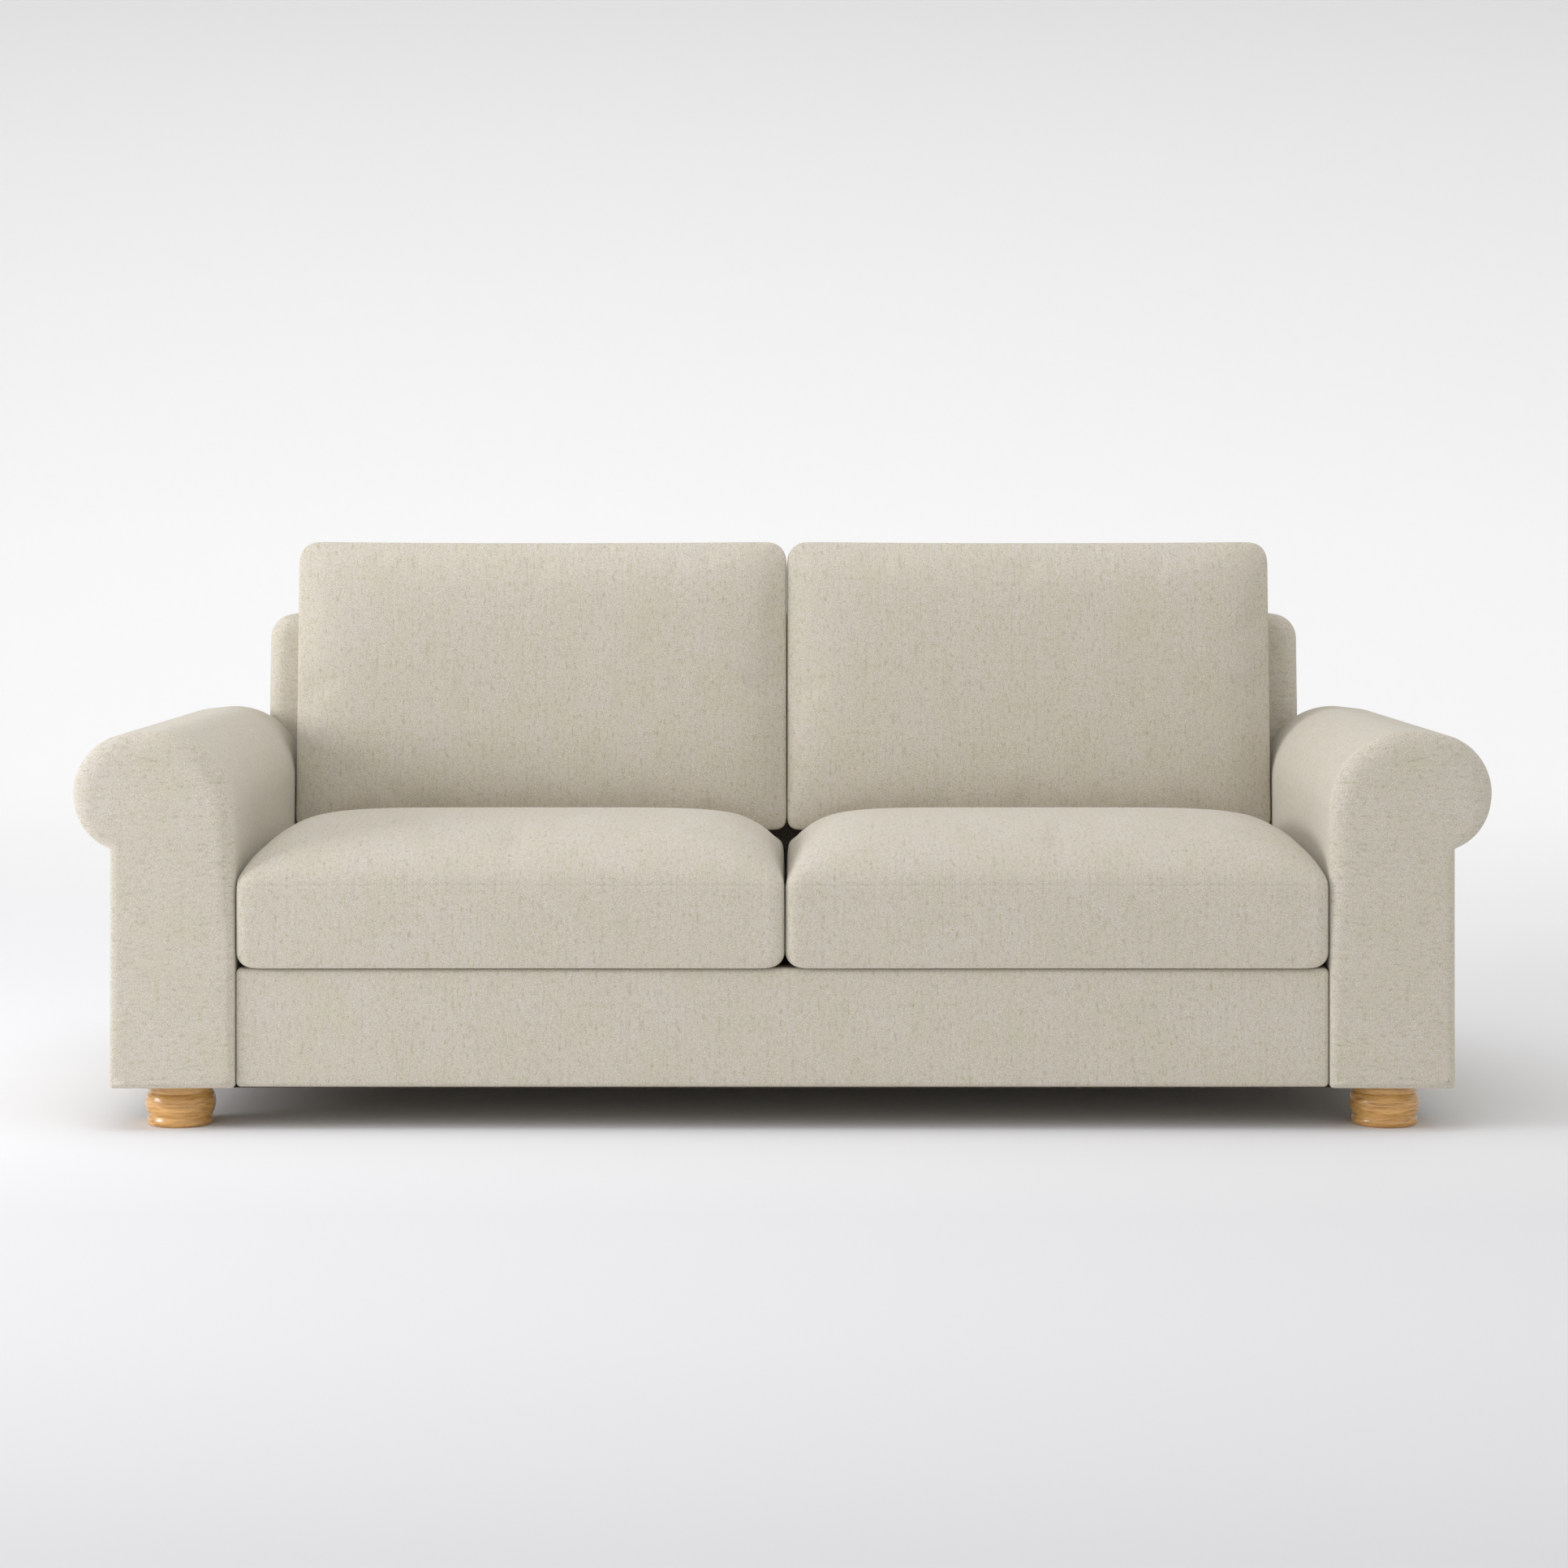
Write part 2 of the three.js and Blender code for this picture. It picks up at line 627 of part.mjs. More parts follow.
// Cover with a zip let into one edge, and the filling inside it
function addCushion(parent, name, fillingName, cushion, fillingFinish, zipAtFarEdge) {
  const skin = toSolid(cushionSkin(cushion, 0, fineMarginShares));
  const cover = skin.subtract(toSolid(cushionSkin(cushion, coverThickness, coarseMarginShares)));
  const edgeY = zipAtFarEdge ? cushion.depth : 0;
  const zipMiddle = (cushion.bottomRadius + cushion.edge * bulgeShare) / 2;
  const slotAt = (clearance) => toSolid(boxBetween(
    [-zipLength / 2 + clearance, edgeY - overrun / 2, zipMiddle - zipWidth / 2 + clearance],
    [zipLength / 2 - clearance, edgeY + overrun / 2, zipMiddle + zipWidth / 2 - clearance]));
  addPiece(parent, `${name}_cover`, toGeometry(cover.subtract(slotAt(0))), linen());
  addPiece(parent, `${name}_zip`, toGeometry(cover.intersect(slotAt(gap))), zipTape());
  const filling = cushionSkin(cushion, coverThickness + liningGap, coarseMarginShares);
  addPiece(parent, `${name}_${fillingName}`, filling, fillingFinish());
}

// Seat crown: rolls over the front edge, is fullest a third of the way back and falls to the rear.
// The sides, squeezed between the arms, stand higher than the front edge and sink towards the rear.
const seatSideFullness = 8;
const seatFrontFullness = 4;
const seatRearFullness = 1.6;
const sideLiftNarrowness = 20;
const sideLiftRise = 12;
const sideLiftFall = 1.2;
function seatCrownAt(across, along) {
  const reach = Math.min(1, Math.abs(across));
  const back = THREE.MathUtils.clamp(along, 0, 1);
  const ahead = Math.max(0, seatPeakShare - back) / seatPeakShare;
  const behind = Math.max(0, back - seatPeakShare) / (1 - seatPeakShare);
  const lengthwise = 1 - ahead ** seatFrontFullness
    - (1 - seatRearCrownShare) * behind ** seatRearFullness;
  const lift = (1 - ahead ** sideLiftRise) * (1 - back ** sideLiftFall) * seatSideLift / seatCrown;
  return (1 - reach ** seatSideFullness) * lengthwise + lift * reach ** sideLiftNarrowness;
}

const seatCushion = {
  width: armInner - seatSideGap - seatMiddleGap,
  depth: seatCushionDepth,
  edge: seatEdgeHeight,
  crown: seatCrown,
  crownAt: seatCrownAt,
  cornerRadius: seatCornerRadius,
  bottomRadius: seatBottomRadius,
  drawIn: seatDrawIn,
  seamInset,
};
const seatUnderside = deckHeight + gap;

function addSeatCushions() {
  for (const [name, side] of sides) {
    const place = new THREE.Group();
    const x = side * (seatMiddleGap + seatCushion.width / 2);
    place.position.set(x, frontY + seatCushionSetback, seatUnderside);
    addCushion(place, `${name}_seat_cushion`, 'core', seatCushion, foam, true);
    sofa.add(place);
  }
}

// Height of the seat cushions' top along their middle, at a setback from the sofa's front
function seatTopAt(setback) {
  const along = (setback - seatCushionSetback) / seatCushionDepth;
  return seatUnderside + seatEdgeHeight + seatCrown * seatCrownAt(0, along);
}

// Back crown: full over most of the face, falling to every edge
const backFullness = 4;
function backCrownAt(across, along) {
  const upright = 2 * along - 1;
  const fall = (place) => 1 - Math.min(1, Math.abs(place)) ** backFullness;
  return fall(across) * fall(upright);
}

// Lowest height at which a back cushion's leaning underside clears the seat cushions' top
function backCushionBottom() {
  let highest = 0;
  const samples = 60;
  const backOff = liningGap / Math.cos(rake);
  for (let i = 0; i <= samples; i += 1) {
    const thickness = backCushionEdge * i / samples;
    const setback = backFaceSetback(seatUnderside + seatEdgeHeight) - backOff - thickness * Math.cos(rake);
    const onSeat = Math.min(setback, seatCushionDepth + seatCushionSetback);
    highest = Math.max(highest, seatTopAt(onSeat) - thickness * Math.sin(rake));
  }
  return highest + cushionRest;
}

// The back cushions lean on the back and stand on the rear of the seat cushions
function addBackCushions() {
  const bottom = backCushionBottom();
  const outer = armInner - backCushionSideGap;
  const spans = {
    left: [-outer, backMiddleOffset - backMiddleGap / 2],
    right: [backMiddleOffset + backMiddleGap / 2, outer],
  };
  for (const [name] of sides) {
    const [from, to] = spans[name];
    const cushion = {
      width: to - from,
      depth: (backCushionTop - bottom - backCushionEdge * Math.sin(rake)) / Math.cos(rake) + seamInset,
      edge: backCushionEdge,
      crown: backCushionCrown,
      crownAt: backCrownAt,
      cornerRadius: backCushionCornerRadius,
      bottomRadius: backCushionBottomRadius,
      drawIn: backCushionDrawIn,
      seamInset,
    };
    const place = new THREE.Group();
    const near = frontY + backFaceSetback(bottom) - liningGap / Math.cos(rake);
    place.position.set((from + to) / 2, near, bottom);
    place.rotation.x = Math.PI / 2 - rake;
    addCushion(place, `${name}_back_cushion`, 'fill', cushion, wadding, false);
    sofa.add(place);
  }
}

addSeatRails();
for (const [name, side] of sides) addArmFrame(name, side);
addBackFrame();
addFeet();
addDustCover();
addSprings();
addPlatforms();
addFrontBorder();
addUpholstery();
addSeatCushions();
addBackCushions();

export default sofa;
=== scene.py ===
"""A two-cushion roll-arm sofa in heathered oatmeal wool, dressed round its frame of beech, springs and foam.

Metres. X runs along the seat, the front faces -Y, Z is up, and the origin is on the floor under the middle.
"""
import json
import math
from contextlib import contextmanager
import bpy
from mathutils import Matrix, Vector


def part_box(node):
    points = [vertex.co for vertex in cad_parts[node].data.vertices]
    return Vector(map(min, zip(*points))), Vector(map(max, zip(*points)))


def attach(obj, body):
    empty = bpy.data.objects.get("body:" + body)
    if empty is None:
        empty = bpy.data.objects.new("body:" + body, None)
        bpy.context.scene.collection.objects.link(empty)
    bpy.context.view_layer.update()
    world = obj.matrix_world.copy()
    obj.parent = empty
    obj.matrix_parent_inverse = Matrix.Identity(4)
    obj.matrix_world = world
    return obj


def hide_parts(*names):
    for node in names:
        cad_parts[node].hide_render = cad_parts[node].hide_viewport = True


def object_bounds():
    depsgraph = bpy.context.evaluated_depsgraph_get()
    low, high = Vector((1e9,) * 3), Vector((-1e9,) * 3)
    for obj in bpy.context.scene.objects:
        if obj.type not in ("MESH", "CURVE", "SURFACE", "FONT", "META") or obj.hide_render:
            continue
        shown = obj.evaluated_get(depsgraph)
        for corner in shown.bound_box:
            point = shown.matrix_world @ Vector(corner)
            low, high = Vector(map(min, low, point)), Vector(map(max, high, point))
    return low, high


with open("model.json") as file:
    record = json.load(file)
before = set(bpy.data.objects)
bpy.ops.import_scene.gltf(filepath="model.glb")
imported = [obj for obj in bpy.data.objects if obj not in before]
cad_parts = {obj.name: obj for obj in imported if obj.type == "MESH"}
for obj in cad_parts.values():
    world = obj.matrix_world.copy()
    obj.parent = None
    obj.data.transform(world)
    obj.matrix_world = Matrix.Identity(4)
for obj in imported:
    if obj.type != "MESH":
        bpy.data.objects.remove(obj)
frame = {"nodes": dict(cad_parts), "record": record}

from types import SimpleNamespace

import bmesh
import bpy
import numpy as np
from mathutils import Matrix, Vector
from mathutils.bvhtree import BVHTree

CAD_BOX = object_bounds()
MM = 0.001
SIDES = (("left", -1), ("right", 1))
RAKE = math.radians(5.5)
SLIT = 0.2 * MM
HAIR = 0.3 * MM
DECK_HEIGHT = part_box("seat_deck")[1].z
COVER_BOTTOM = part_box("dust_cover")[1].z + SLIT / 2

# Edges, hems and sewn seams of the arms and the back
HEM_EDGE = 5 * MM
SEAM_SHARE = 0.55
SEAM_DEPTH = 0.4 * MM
SEAM_REACH = 2.0 * MM
EDGE_STEPS = 9
CAP_RIM = 2 * MM
PANEL_GRID = 30 * MM
PANEL_FACING = 0.6

# Shape of the arm's section
ARM_HEIGHT = 620 * MM
ROLL_RADIUS = 92 * MM
ROLL_DROP = 4 * MM
INNER_ROLL_RADIUS = 123 * MM
ROLL_OVERHANG = 57 * MM
PANEL_TUCK = 2.4 * MM
CREASE_NORMAL = (0.94, -0.34)
ARM_SPACING = 14 * MM
ARM_TOP_SPACING = 10 * MM
ARM_HEM_SPACING = 20 * MM

# The arm's rounded front edge, wide round the roll and narrow at the panels
ROLL_EDGE = 44 * MM
PANEL_EDGE = 15 * MM
OUTER_EDGE_RISE = 40 * MM
INNER_EDGE_HEIGHTS = (0.28, 0.46)
ARM_HEM_SLOPE = 0.05
EDGE_DEPTH_SHARE = 0.5
INNER_EDGE_DEPTH_SHARE = 0.7
REAR_EDGE_SHARE = 0.35
PANEL_CROWN = 3 * MM
CROWN_FADE = (30 * MM, 90 * MM)

# Shape of the back
BACK_THICKNESS = 192 * MM
BACK_CORNER = 42 * MM
BACK_EDGE = 30 * MM
BACK_HEM_SLOPE = 0.08
FACING_DOWN = -0.7
BACK_SPACING = 25 * MM
BACK_DEPTH_STEPS = 10

# Cushions: corners are the outline's radii at the near and far end, draw_in the pull of the seams at the
# ends and sides, swell the most that the stuffing may move, and cloth_share how far the cloth runs on over
# the crown for each metre of height
SEAT = SimpleNamespace(edge=129 * MM, corners=(16 * MM, 30 * MM), draw_in=(1.5 * MM, 4 * MM), swell=6 * MM,
                       cloth_share=0.9, filling="foam", shrink=9 * MM, zip_height=48.5 * MM)
BACK = SimpleNamespace(edge=112 * MM, corners=(20 * MM, 34 * MM), draw_in=(3 * MM, 0.4 * MM), swell=7 * MM,
                       cloth_share=0.3, filling="fibre", shrink=10 * MM, zip_height=41.8 * MM)
CUSHION_BOTTOM_RADIUS = 24 * MM
CUSHION_SPACING = 10 * MM
CUSHION_END = 70 * MM
END_ROWS = 7
END_CROWDING = 1.8
PULL_SQUARENESS = 8
FILLING_SPACING = 24 * MM
FLAT_END_SHARE = 0.1
FLAT_FACING = 0.8
CUSHION_SEAM_DEPTH = 0.6 * MM
CUSHION_SEAM_REACH = 1.8 * MM
STUFFING = dict(quality=5, mass=0.3, tension_stiffness=12, compression_stiffness=12, shear_stiffness=4,
                bending_stiffness=0.6, use_pressure=True, uniform_pressure_force=2.0)
STUFFING_FRAMES = 20
SWELL_FADE = 0.6

# The cushions' crowns, and how the cushions meet. A fall is how square and how full a crown is towards a side
SEAT_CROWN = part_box("left_seat_cushion_cover")[1].z - DECK_HEIGHT - HAIR - SEAT.edge
SEAT_PEAK_SHARE = 0.43
SEAT_REAR_SHARE = 0.17
SEAT_REAR_ROUND = 0.07
SEAT_REAR_CURVE = 1.6
SEAT_FRONT_FALL = (3, 0.45)
SEAT_ARM_FALL = (5.5, 0.38)
SEAT_MIDDLE_FALL = (6.5, 0.42)
SEAT_MEETING = 4 * MM
SHOULDER_DRAW = 5 * MM
SHOULDER_RISE = 30 * MM
SHOULDER_SQUARENESS = 16
BACK_CROWN = 38 * MM
BACK_SQUARENESS = 4.5
BACK_SETTLE = 150 * MM

# Zips
ZIP_LENGTH = 500 * MM
ZIP_ROWS, TAPE_ROWS = 60, 6
WALL_REACH = 0.05
TAPE_LIFT = 0.15 * MM
TAPE_THICKNESS = 0.6 * MM
TAPES = (("upper", 1.3 * MM, 9.5 * MM), ("lower", -9.5 * MM, -1.3 * MM))
TOOTH_PITCH = 2.2 * MM
TOOTH_SIZE = (2.0 * MM, 1.4 * MM, 1.4 * MM)
TOOTH_LEAN = (0, 0, 0.9 * MM)
SLIDER_PLACE = 9 * MM
SLIDER_LIFT = 1.9 * MM
SLIDER_HALF = (6 * MM, 1.4 * MM, 4.5 * MM)
SLIDER_ROUND = 1.2 * MM
PULL_LIFT = 2.1 * MM
PULL_WIDTH = 5 * MM
PULL_HALF_THICKNESS = 0.5 * MM
PULL_DROP = 24 * MM
PULL_RISE = 2 * MM
METAL_SPACING = 4 * MM

# Turned feet: shares of the radius and of the height, from the floor up
FOOT_PROFILE = (
    (0.0, 0.0), (0.86, 0.0), (0.9, 0.01), (0.925, 0.03), (0.94, 0.07), (0.945, 0.115), (0.935, 0.16),
    (0.915, 0.195), (0.9, 0.215), (0.905, 0.235), (0.925, 0.265), (0.955, 0.32), (0.982, 0.385),
    (0.997, 0.455), (1.0, 0.53), (0.993, 0.61), (0.972, 0.68), (0.945, 0.735), (0.915, 0.775), (0.903, 0.795),
    (0.91, 0.815), (0.917, 0.84), (0.913, 0.9), (0.9, 0.96), (0.89, 1.0), (0.0, 1.0),
)
FOOT_SEGMENTS = 72

# Base front, seat platform, dust cover and webbing
BORDER_ROUND = 9 * MM
BORDER_SPACING = 20 * MM
DECK_ROUND = 5 * MM
DECK_SPACING = 40 * MM
SHOULDER_GAP = 12.5 * MM
DUST_COVER_SAG = 3 * MM
BAY_WIDTH = 0.85
STAPLE_RIM = 9 * MM
STAPLE_SPACING = 48 * MM
STAPLE_SIZE = (0.7 * MM, 1.3 * MM, 10 * MM)
BAND_WIDTH = 50 * MM
BAND_COUNT = 12
BAND_GAP = 0.1 * MM
LONG_BAND_SHARES = (0.27, 0.64)

# Studio: each lamp's name, place, aim, size and power
AIR_STRENGTH = 0.773
LAMP_COLOUR = (0.995, 1.0, 1.07)
LAMPS = (
    ("side_softbox", (-4.7, -1.5, 1.5), (0, 0.1, 0.6), 1.5, 112),
    ("top_softbox", (-0.3, -0.9, 3.6), (0, 0, 0.3), 2.6, 34),
)
FLOOR_FRONT = -9.0
WALL_PLACE = 7.0
WALL_SWEEP = 2.0
WALL_TOP = 9.0
HALF_FLOOR = 12.0

# Painted light and shade of the backdrop as the camera sees it, lighter and darker along it: how far along
# the floor and up the wall, and how light
BACKDROP_PAINTED_SHADING = ((-2.6, 0.72), (-2.3, 0.745), (-1.8, 0.76), (-1.1, 0.75), (-0.5, 0.81), (1.4, 0.88),
               (3.8, 0.93), (5.6, 0.93), (7.0, 0.89), (8.0, 0.82), (8.5, 0.77), (8.8, 0.73), (9.1, 0.68))
# Painted glow at the wall, seen by the camera only: how far along, and how strong
BACKDROP_PAINTED_GLOW = ((1.4, 0), (5.0, 0.16))

# Camera: the photograph's own pixels, and metres
IMAGE_SIZE = 1932
AXIS_X, AXIS_Y = 975, 655
FOCAL_PIXELS = 4128
CAMERA_X = 0.0138
CAMERA_DISTANCE = 5.18
EYE_HEIGHT = 0.929
SENSOR_WIDTH = 36


# Mesh helpers

def put_in_scene(name, data):
    obj = bpy.data.objects.new(name, data)
    bpy.context.scene.collection.objects.link(obj)
    return obj


def add_mesh(name, points, faces, edges=()):
    """A mesh object in the scene from its corners and faces, or from its corners and edges"""
    mesh = bpy.data.meshes.new(name)
    mesh.from_pydata([tuple(map(float, point)) for point in points], edges, [tuple(face) for face in faces])
    mesh.validate()
    mesh.polygons.foreach_set("use_smooth", [True] * len(mesh.polygons))
    return put_in_scene(name, mesh)


def read_all(items, attribute, width=1, kind=float):
    """One attribute of all items, a row for each where it has more than one value"""
    values = np.empty(len(items) * width, kind)
    items.foreach_get(attribute, values)
    return values.reshape(-1, width) if width > 1 else values


def corners_of(mesh):
    return read_all(mesh.vertices, "co", 3)


def set_corners(mesh, rows):
    mesh.vertices.foreach_set("co", np.asarray(rows, float).ravel())
    mesh.update()


@contextmanager
def reworked(mesh):
    """A mesh opened for rework, and written back at the end of the block"""
    work = bmesh.new()
    work.from_mesh(mesh)
    yield work
    work.to_mesh(mesh)
    work.free()
    mesh.update()


def face_outwards(obj):
    """Points all faces of a closed piece outwards"""
    with reworked(obj.data) as work:
        bmesh.ops.recalc_face_normals(work, faces=work.faces)


def keep_modified(obj, modifier):
    """Makes what a modifier shows into the object's own mesh, and takes the modifier away"""
    shaped = obj.evaluated_get(bpy.context.evaluated_depsgraph_get())
    mesh = bpy.data.meshes.new_from_object(shaped)
    obj.modifiers.remove(modifier)
    old = obj.data
    obj.data = mesh
    bpy.data.meshes.remove(old)
    mesh.name = obj.name


def lay_cloth(mesh, cloth_at):
    """Gives each face corner its place on the cloth in metres: across the warp, then along it.
    cloth_at takes the corners' index and place, and their faces' middle and normal."""
    corner = read_all(mesh.loops, "vertex_index", kind=int)
    totals = read_all(mesh.polygons, "loop_total", kind=int)
    face = np.repeat(np.arange(len(totals)), totals)
    middle, normal = (read_all(mesh.polygons, attribute, 3)[face] for attribute in ("center", "normal"))
    cloth = cloth_at(corner, corners_of(mesh)[corner], middle, normal)
    layer = mesh.uv_layers.get("cloth") or mesh.uv_layers.new(name="cloth")
    layer.data.foreach_set("uv", np.asarray(cloth, float).ravel())


def by_facing(corner, place, middle, normal):
    """Cloth laid flat on whichever plane a face looks along, its warp upright or running front to back"""
    x, y, z = place.T
    ahead = np.abs(normal)
    across = np.where(ahead[:, 0] > np.maximum(ahead[:, 1], ahead[:, 2]), y, x)
    along = np.where(ahead[:, 2] > np.maximum(ahead[:, 0], ahead[:, 1]), y, z)
    return np.stack([across, along], 1)


def finish_piece(obj, material, body, slot, *nodes, fill=None):
    """A finished piece rides on its body and stands for its CAD nodes; fill, how full a padded one is, is not
    used
    """
    obj.data.materials.clear()
    obj.data.materials.append(material)
    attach(obj, body)
    if nodes:
        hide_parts(*nodes)


# Materials

def feed(tree, node, inputs):
    """Sets a node's inputs, each to a plain value or to another node's output"""
    for label, value in inputs.items():
        if isinstance(value, bpy.types.NodeSocket):
            tree.links.new(value, node.inputs[label])
        else:
            node.inputs[label].default_value = value


def add_node(tree, kind, inputs=None, **settings):
    node = tree.nodes.new(kind)
    for setting, value in settings.items():
        setattr(node, setting, value)
    feed(tree, node, inputs or {})
    return node


def new_material(name):
    """A material, its node tree and its shader"""
    material = bpy.data.materials.new(name)
    material.use_nodes = True
    return material, material.node_tree, material.node_tree.nodes["Principled BSDF"]


def object_place(tree):
    return tree.nodes.new("ShaderNodeTexCoord").outputs["Object"]


def cloth_place(tree):
    return add_node(tree, "ShaderNodeUVMap", uv_map="cloth").outputs["UV"]


def ramp(tree, source, stops):
    """A colour ramp fed by a value: stops are (place, colour), where one number stands for a grey"""
    node = add_node(tree, "ShaderNodeValToRGB", {"Fac": source})
    elements = node.color_ramp.elements
    while len(elements) < len(stops):
        elements.new(0.5)
    for element, (place, colour) in zip(elements, stops):
        element.position = place
        element.color = (*(colour if isinstance(colour, tuple) else (colour,) * 3), 1)
    return node.outputs["Color"]


def noise_at(tree, vector, scale, detail, roughness):
    return add_node(tree, "ShaderNodeTexNoise", {
        "Vector": vector, "Scale": scale, "Detail": detail, "Roughness": roughness}).outputs["Fac"]


def stretched(tree, vector, scale):
    return add_node(tree, "ShaderNodeMapping", {"Vector": vector, "Scale": scale}).outputs["Vector"]


def grain_at(tree, place, scale, detail, roughness):
    """Noise that is finer or coarser along each axis"""
    return noise_at(tree, stretched(tree, place, scale), 1.0, detail, roughness)


def mixed(tree, kind, factor, first, second):
    """A colour mix of two sources"""
    node = add_node(tree, "ShaderNodeMix", {"Factor": factor, 6: first, 7: second},
                    data_type="RGBA", blend_type=kind)
    return node.outputs[2]


def bumped(tree, *layers):
    """Bumps one over another: layers are (height source, strength, distance)"""
    normal = None
    for height, strength, distance in layers:
        under = {"Normal": normal} if normal else {}
        node = add_node(tree, "ShaderNodeBump", {
            "Strength": strength, "Distance": distance, "Height": height, **under})
        normal = node.outputs["Normal"]
    return normal


def heathered_wool():
    """Woven cloth of mixed yarns: a fine speckle under short darker and lighter flecks that run with the
    warp, faint streaks, and patches that turn a little greener or pinker"""
    material, tree, shader = new_material("heathered_wool")
    place = cloth_place(tree)
    dark, base, light = (0.40, 0.372, 0.284), (0.587, 0.545, 0.474), (0.757, 0.705, 0.672)
    grain = grain_at(tree, place, (560, 470, 1), 3.0, 0.7)
    fleck = grain_at(tree, place, (210, 105, 1), 2.0, 0.6)
    slub = grain_at(tree, place, (150, 34, 1), 2.0, 0.5)
    streak = grain_at(tree, place, (120, 5, 1), 1.0, 0.5)
    cloud = grain_at(tree, place, (13, 9, 1), 4.0, 0.6)
    twill = add_node(tree, "ShaderNodeTexWave", {
        "Vector": stretched(tree, place, (140, 140, 1)), "Scale": 1.0, "Distortion": 2.2, "Detail": 1.0,
    }, wave_type="BANDS", bands_direction="DIAGONAL").outputs["Fac"]
    colour = ramp(tree, grain, [(0.32, dark), (0.47, base), (0.54, base), (0.68, light)])
    tints = (
        (fleck, [(0.30, (0.82, 0.81, 0.72)), (0.42, (0.97, 0.97, 0.95)), (0.58, 1.0),
                 (0.72, (1.05, 1.05, 1.08))]),
        (slub, [(0.28, (0.90, 0.89, 0.85)), (0.40, 1.0), (0.70, (1.03, 1.02, 1.01))]),
        (streak, [(0.3, (0.965, 0.965, 0.955)), (0.7, (1.0, 0.995, 0.985))]),
        (cloud, [(0.34, (0.965, 0.970, 0.925)), (0.66, (1.0, 0.995, 1.005))]),
        (twill, [(0.15, (0.955, 0.955, 0.94)), (0.85, (1.02, 1.02, 1.03))]),
    )
    for source, stops in tints:
        colour = mixed(tree, "MULTIPLY", 1.0, colour, ramp(tree, source, stops))
    feed(tree, shader, {
        "Base Color": colour,
        "Normal": bumped(tree, (cloud, 0.12, 0.004), (slub, 0.12, 0.0012), (twill, 0.25, 0.0005),
                         (grain, 0.5, 0.0009)),
        "Roughness": 0.95,
        "Specular IOR Level": 0.2,
        "Sheen Weight": 0.18,
        "Sheen Roughness": 0.5,
        "Sheen Tint": (0.95, 0.94, 0.9, 1),
    })
    return material


def turned_oak():
    """Varnished oak, its grain running across the turned foot"""
    material, tree, shader = new_material("varnished_oak")
    place = object_place(tree)
    grain = grain_at(tree, place, (14, 60, 260), 5.0, 0.6)
    pore = grain_at(tree, place, (90, 400, 1500), 2.0, 0.5)
    colour = ramp(tree, grain, [(0.28, (0.32, 0.142, 0.034)), (0.42, (0.54, 0.274, 0.072)),
                                (0.58, (0.70, 0.393, 0.119)), (0.75, (0.82, 0.50, 0.17))])
    pores = ramp(tree, pore, [(0.34, (0.70, 0.62, 0.52)), (0.44, 1.0)])
    feed(tree, shader, {
        "Base Color": mixed(tree, "MULTIPLY", 0.7, colour, pores),
        "Normal": bumped(tree, (grain, 0.12, 0.0006), (pore, 0.15, 0.0002)),
        "Roughness": ramp(tree, grain, [(0.3, 0.40), (0.7, 0.30)]),
        "Coat Weight": 0.6,
        "Coat Roughness": 0.2,
    })
    return material


def sawn_beech():
    """Planed beech with short darker flecks along each rail"""
    material, tree, shader = new_material("planed_beech")
    place = object_place(tree)
    grain = grain_at(tree, place, (18, 18, 45), 5.0, 0.6)
    fleck = grain_at(tree, place, (160, 160, 700), 2.0, 0.5)
    colour = ramp(tree, grain, [(0.3, (0.42, 0.25, 0.12)), (0.7, (0.60, 0.41, 0.22))])
    flecks = ramp(tree, fleck, [(0.36, (0.72, 0.64, 0.55)), (0.46, 1.0)])
    feed(tree, shader, {
        "Base Color": mixed(tree, "MULTIPLY", 0.8, colour, flecks),
        "Normal": bumped(tree, (grain, 0.2, 0.0008)),
        "Roughness": ramp(tree, grain, [(0.3, 0.66), (0.7, 0.52)]),
    })
    return material


def spring_steel():
    """Oiled steel wire and bolts, a little mottled"""
    material, tree, shader = new_material("oiled_steel")
    stain = noise_at(tree, object_place(tree), 60.0, 4.0, 0.6)
    feed(tree, shader, {
        "Base Color": ramp(tree, stain, [(0.35, (0.16, 0.16, 0.17)), (0.65, (0.36, 0.365, 0.38))]),
        "Normal": bumped(tree, (stain, 0.15, 0.0003)),
        "Roughness": ramp(tree, stain, [(0.3, 0.5), (0.7, 0.3)]),
        "Metallic": 1.0,
    })
    return material


def plain_weave(name, dark, light, threads, bump=0.4):
    """A plain woven cloth: crossing threads and a little soiling"""
    material, tree, shader = new_material(name)
    place = object_place(tree)
    weft, warp = (
        add_node(tree, "ShaderNodeTexWave", {"Vector": place, "Scale": threads}, bands_direction=way)
        for way in ("X", "Y"))
    weave = mixed(tree, "MULTIPLY", 1.0, weft.outputs["Color"], warp.outputs["Color"])
    tone = mixed(tree, "MIX", 0.4, weave, noise_at(tree, place, 14.0, 4.0, 0.6))
    feed(tree, shader, {
        "Base Color": ramp(tree, tone, [(0.2, dark), (0.7, light)]),
        "Normal": bumped(tree, (weave, bump, 0.0006)),
        "Roughness": 0.95,
        "Specular IOR Level": 0.2,
    })
    return material


def open_foam(name, dark, light, cell):
    """Cut foam or combed wadding: fine cells under a soft mottle"""
    material, tree, shader = new_material(name)
    place = object_place(tree)
    cells = add_node(tree, "ShaderNodeTexVoronoi", {"Vector": place, "Scale": cell})
    feed(tree, shader, {
        "Base Color": ramp(tree, noise_at(tree, place, 20.0, 3.0, 0.6), [(0.3, dark), (0.7, light)]),
        "Normal": bumped(tree, (cells.outputs["Distance"], 0.5, 0.001)),
        "Roughness": 0.98,
    })
    return material


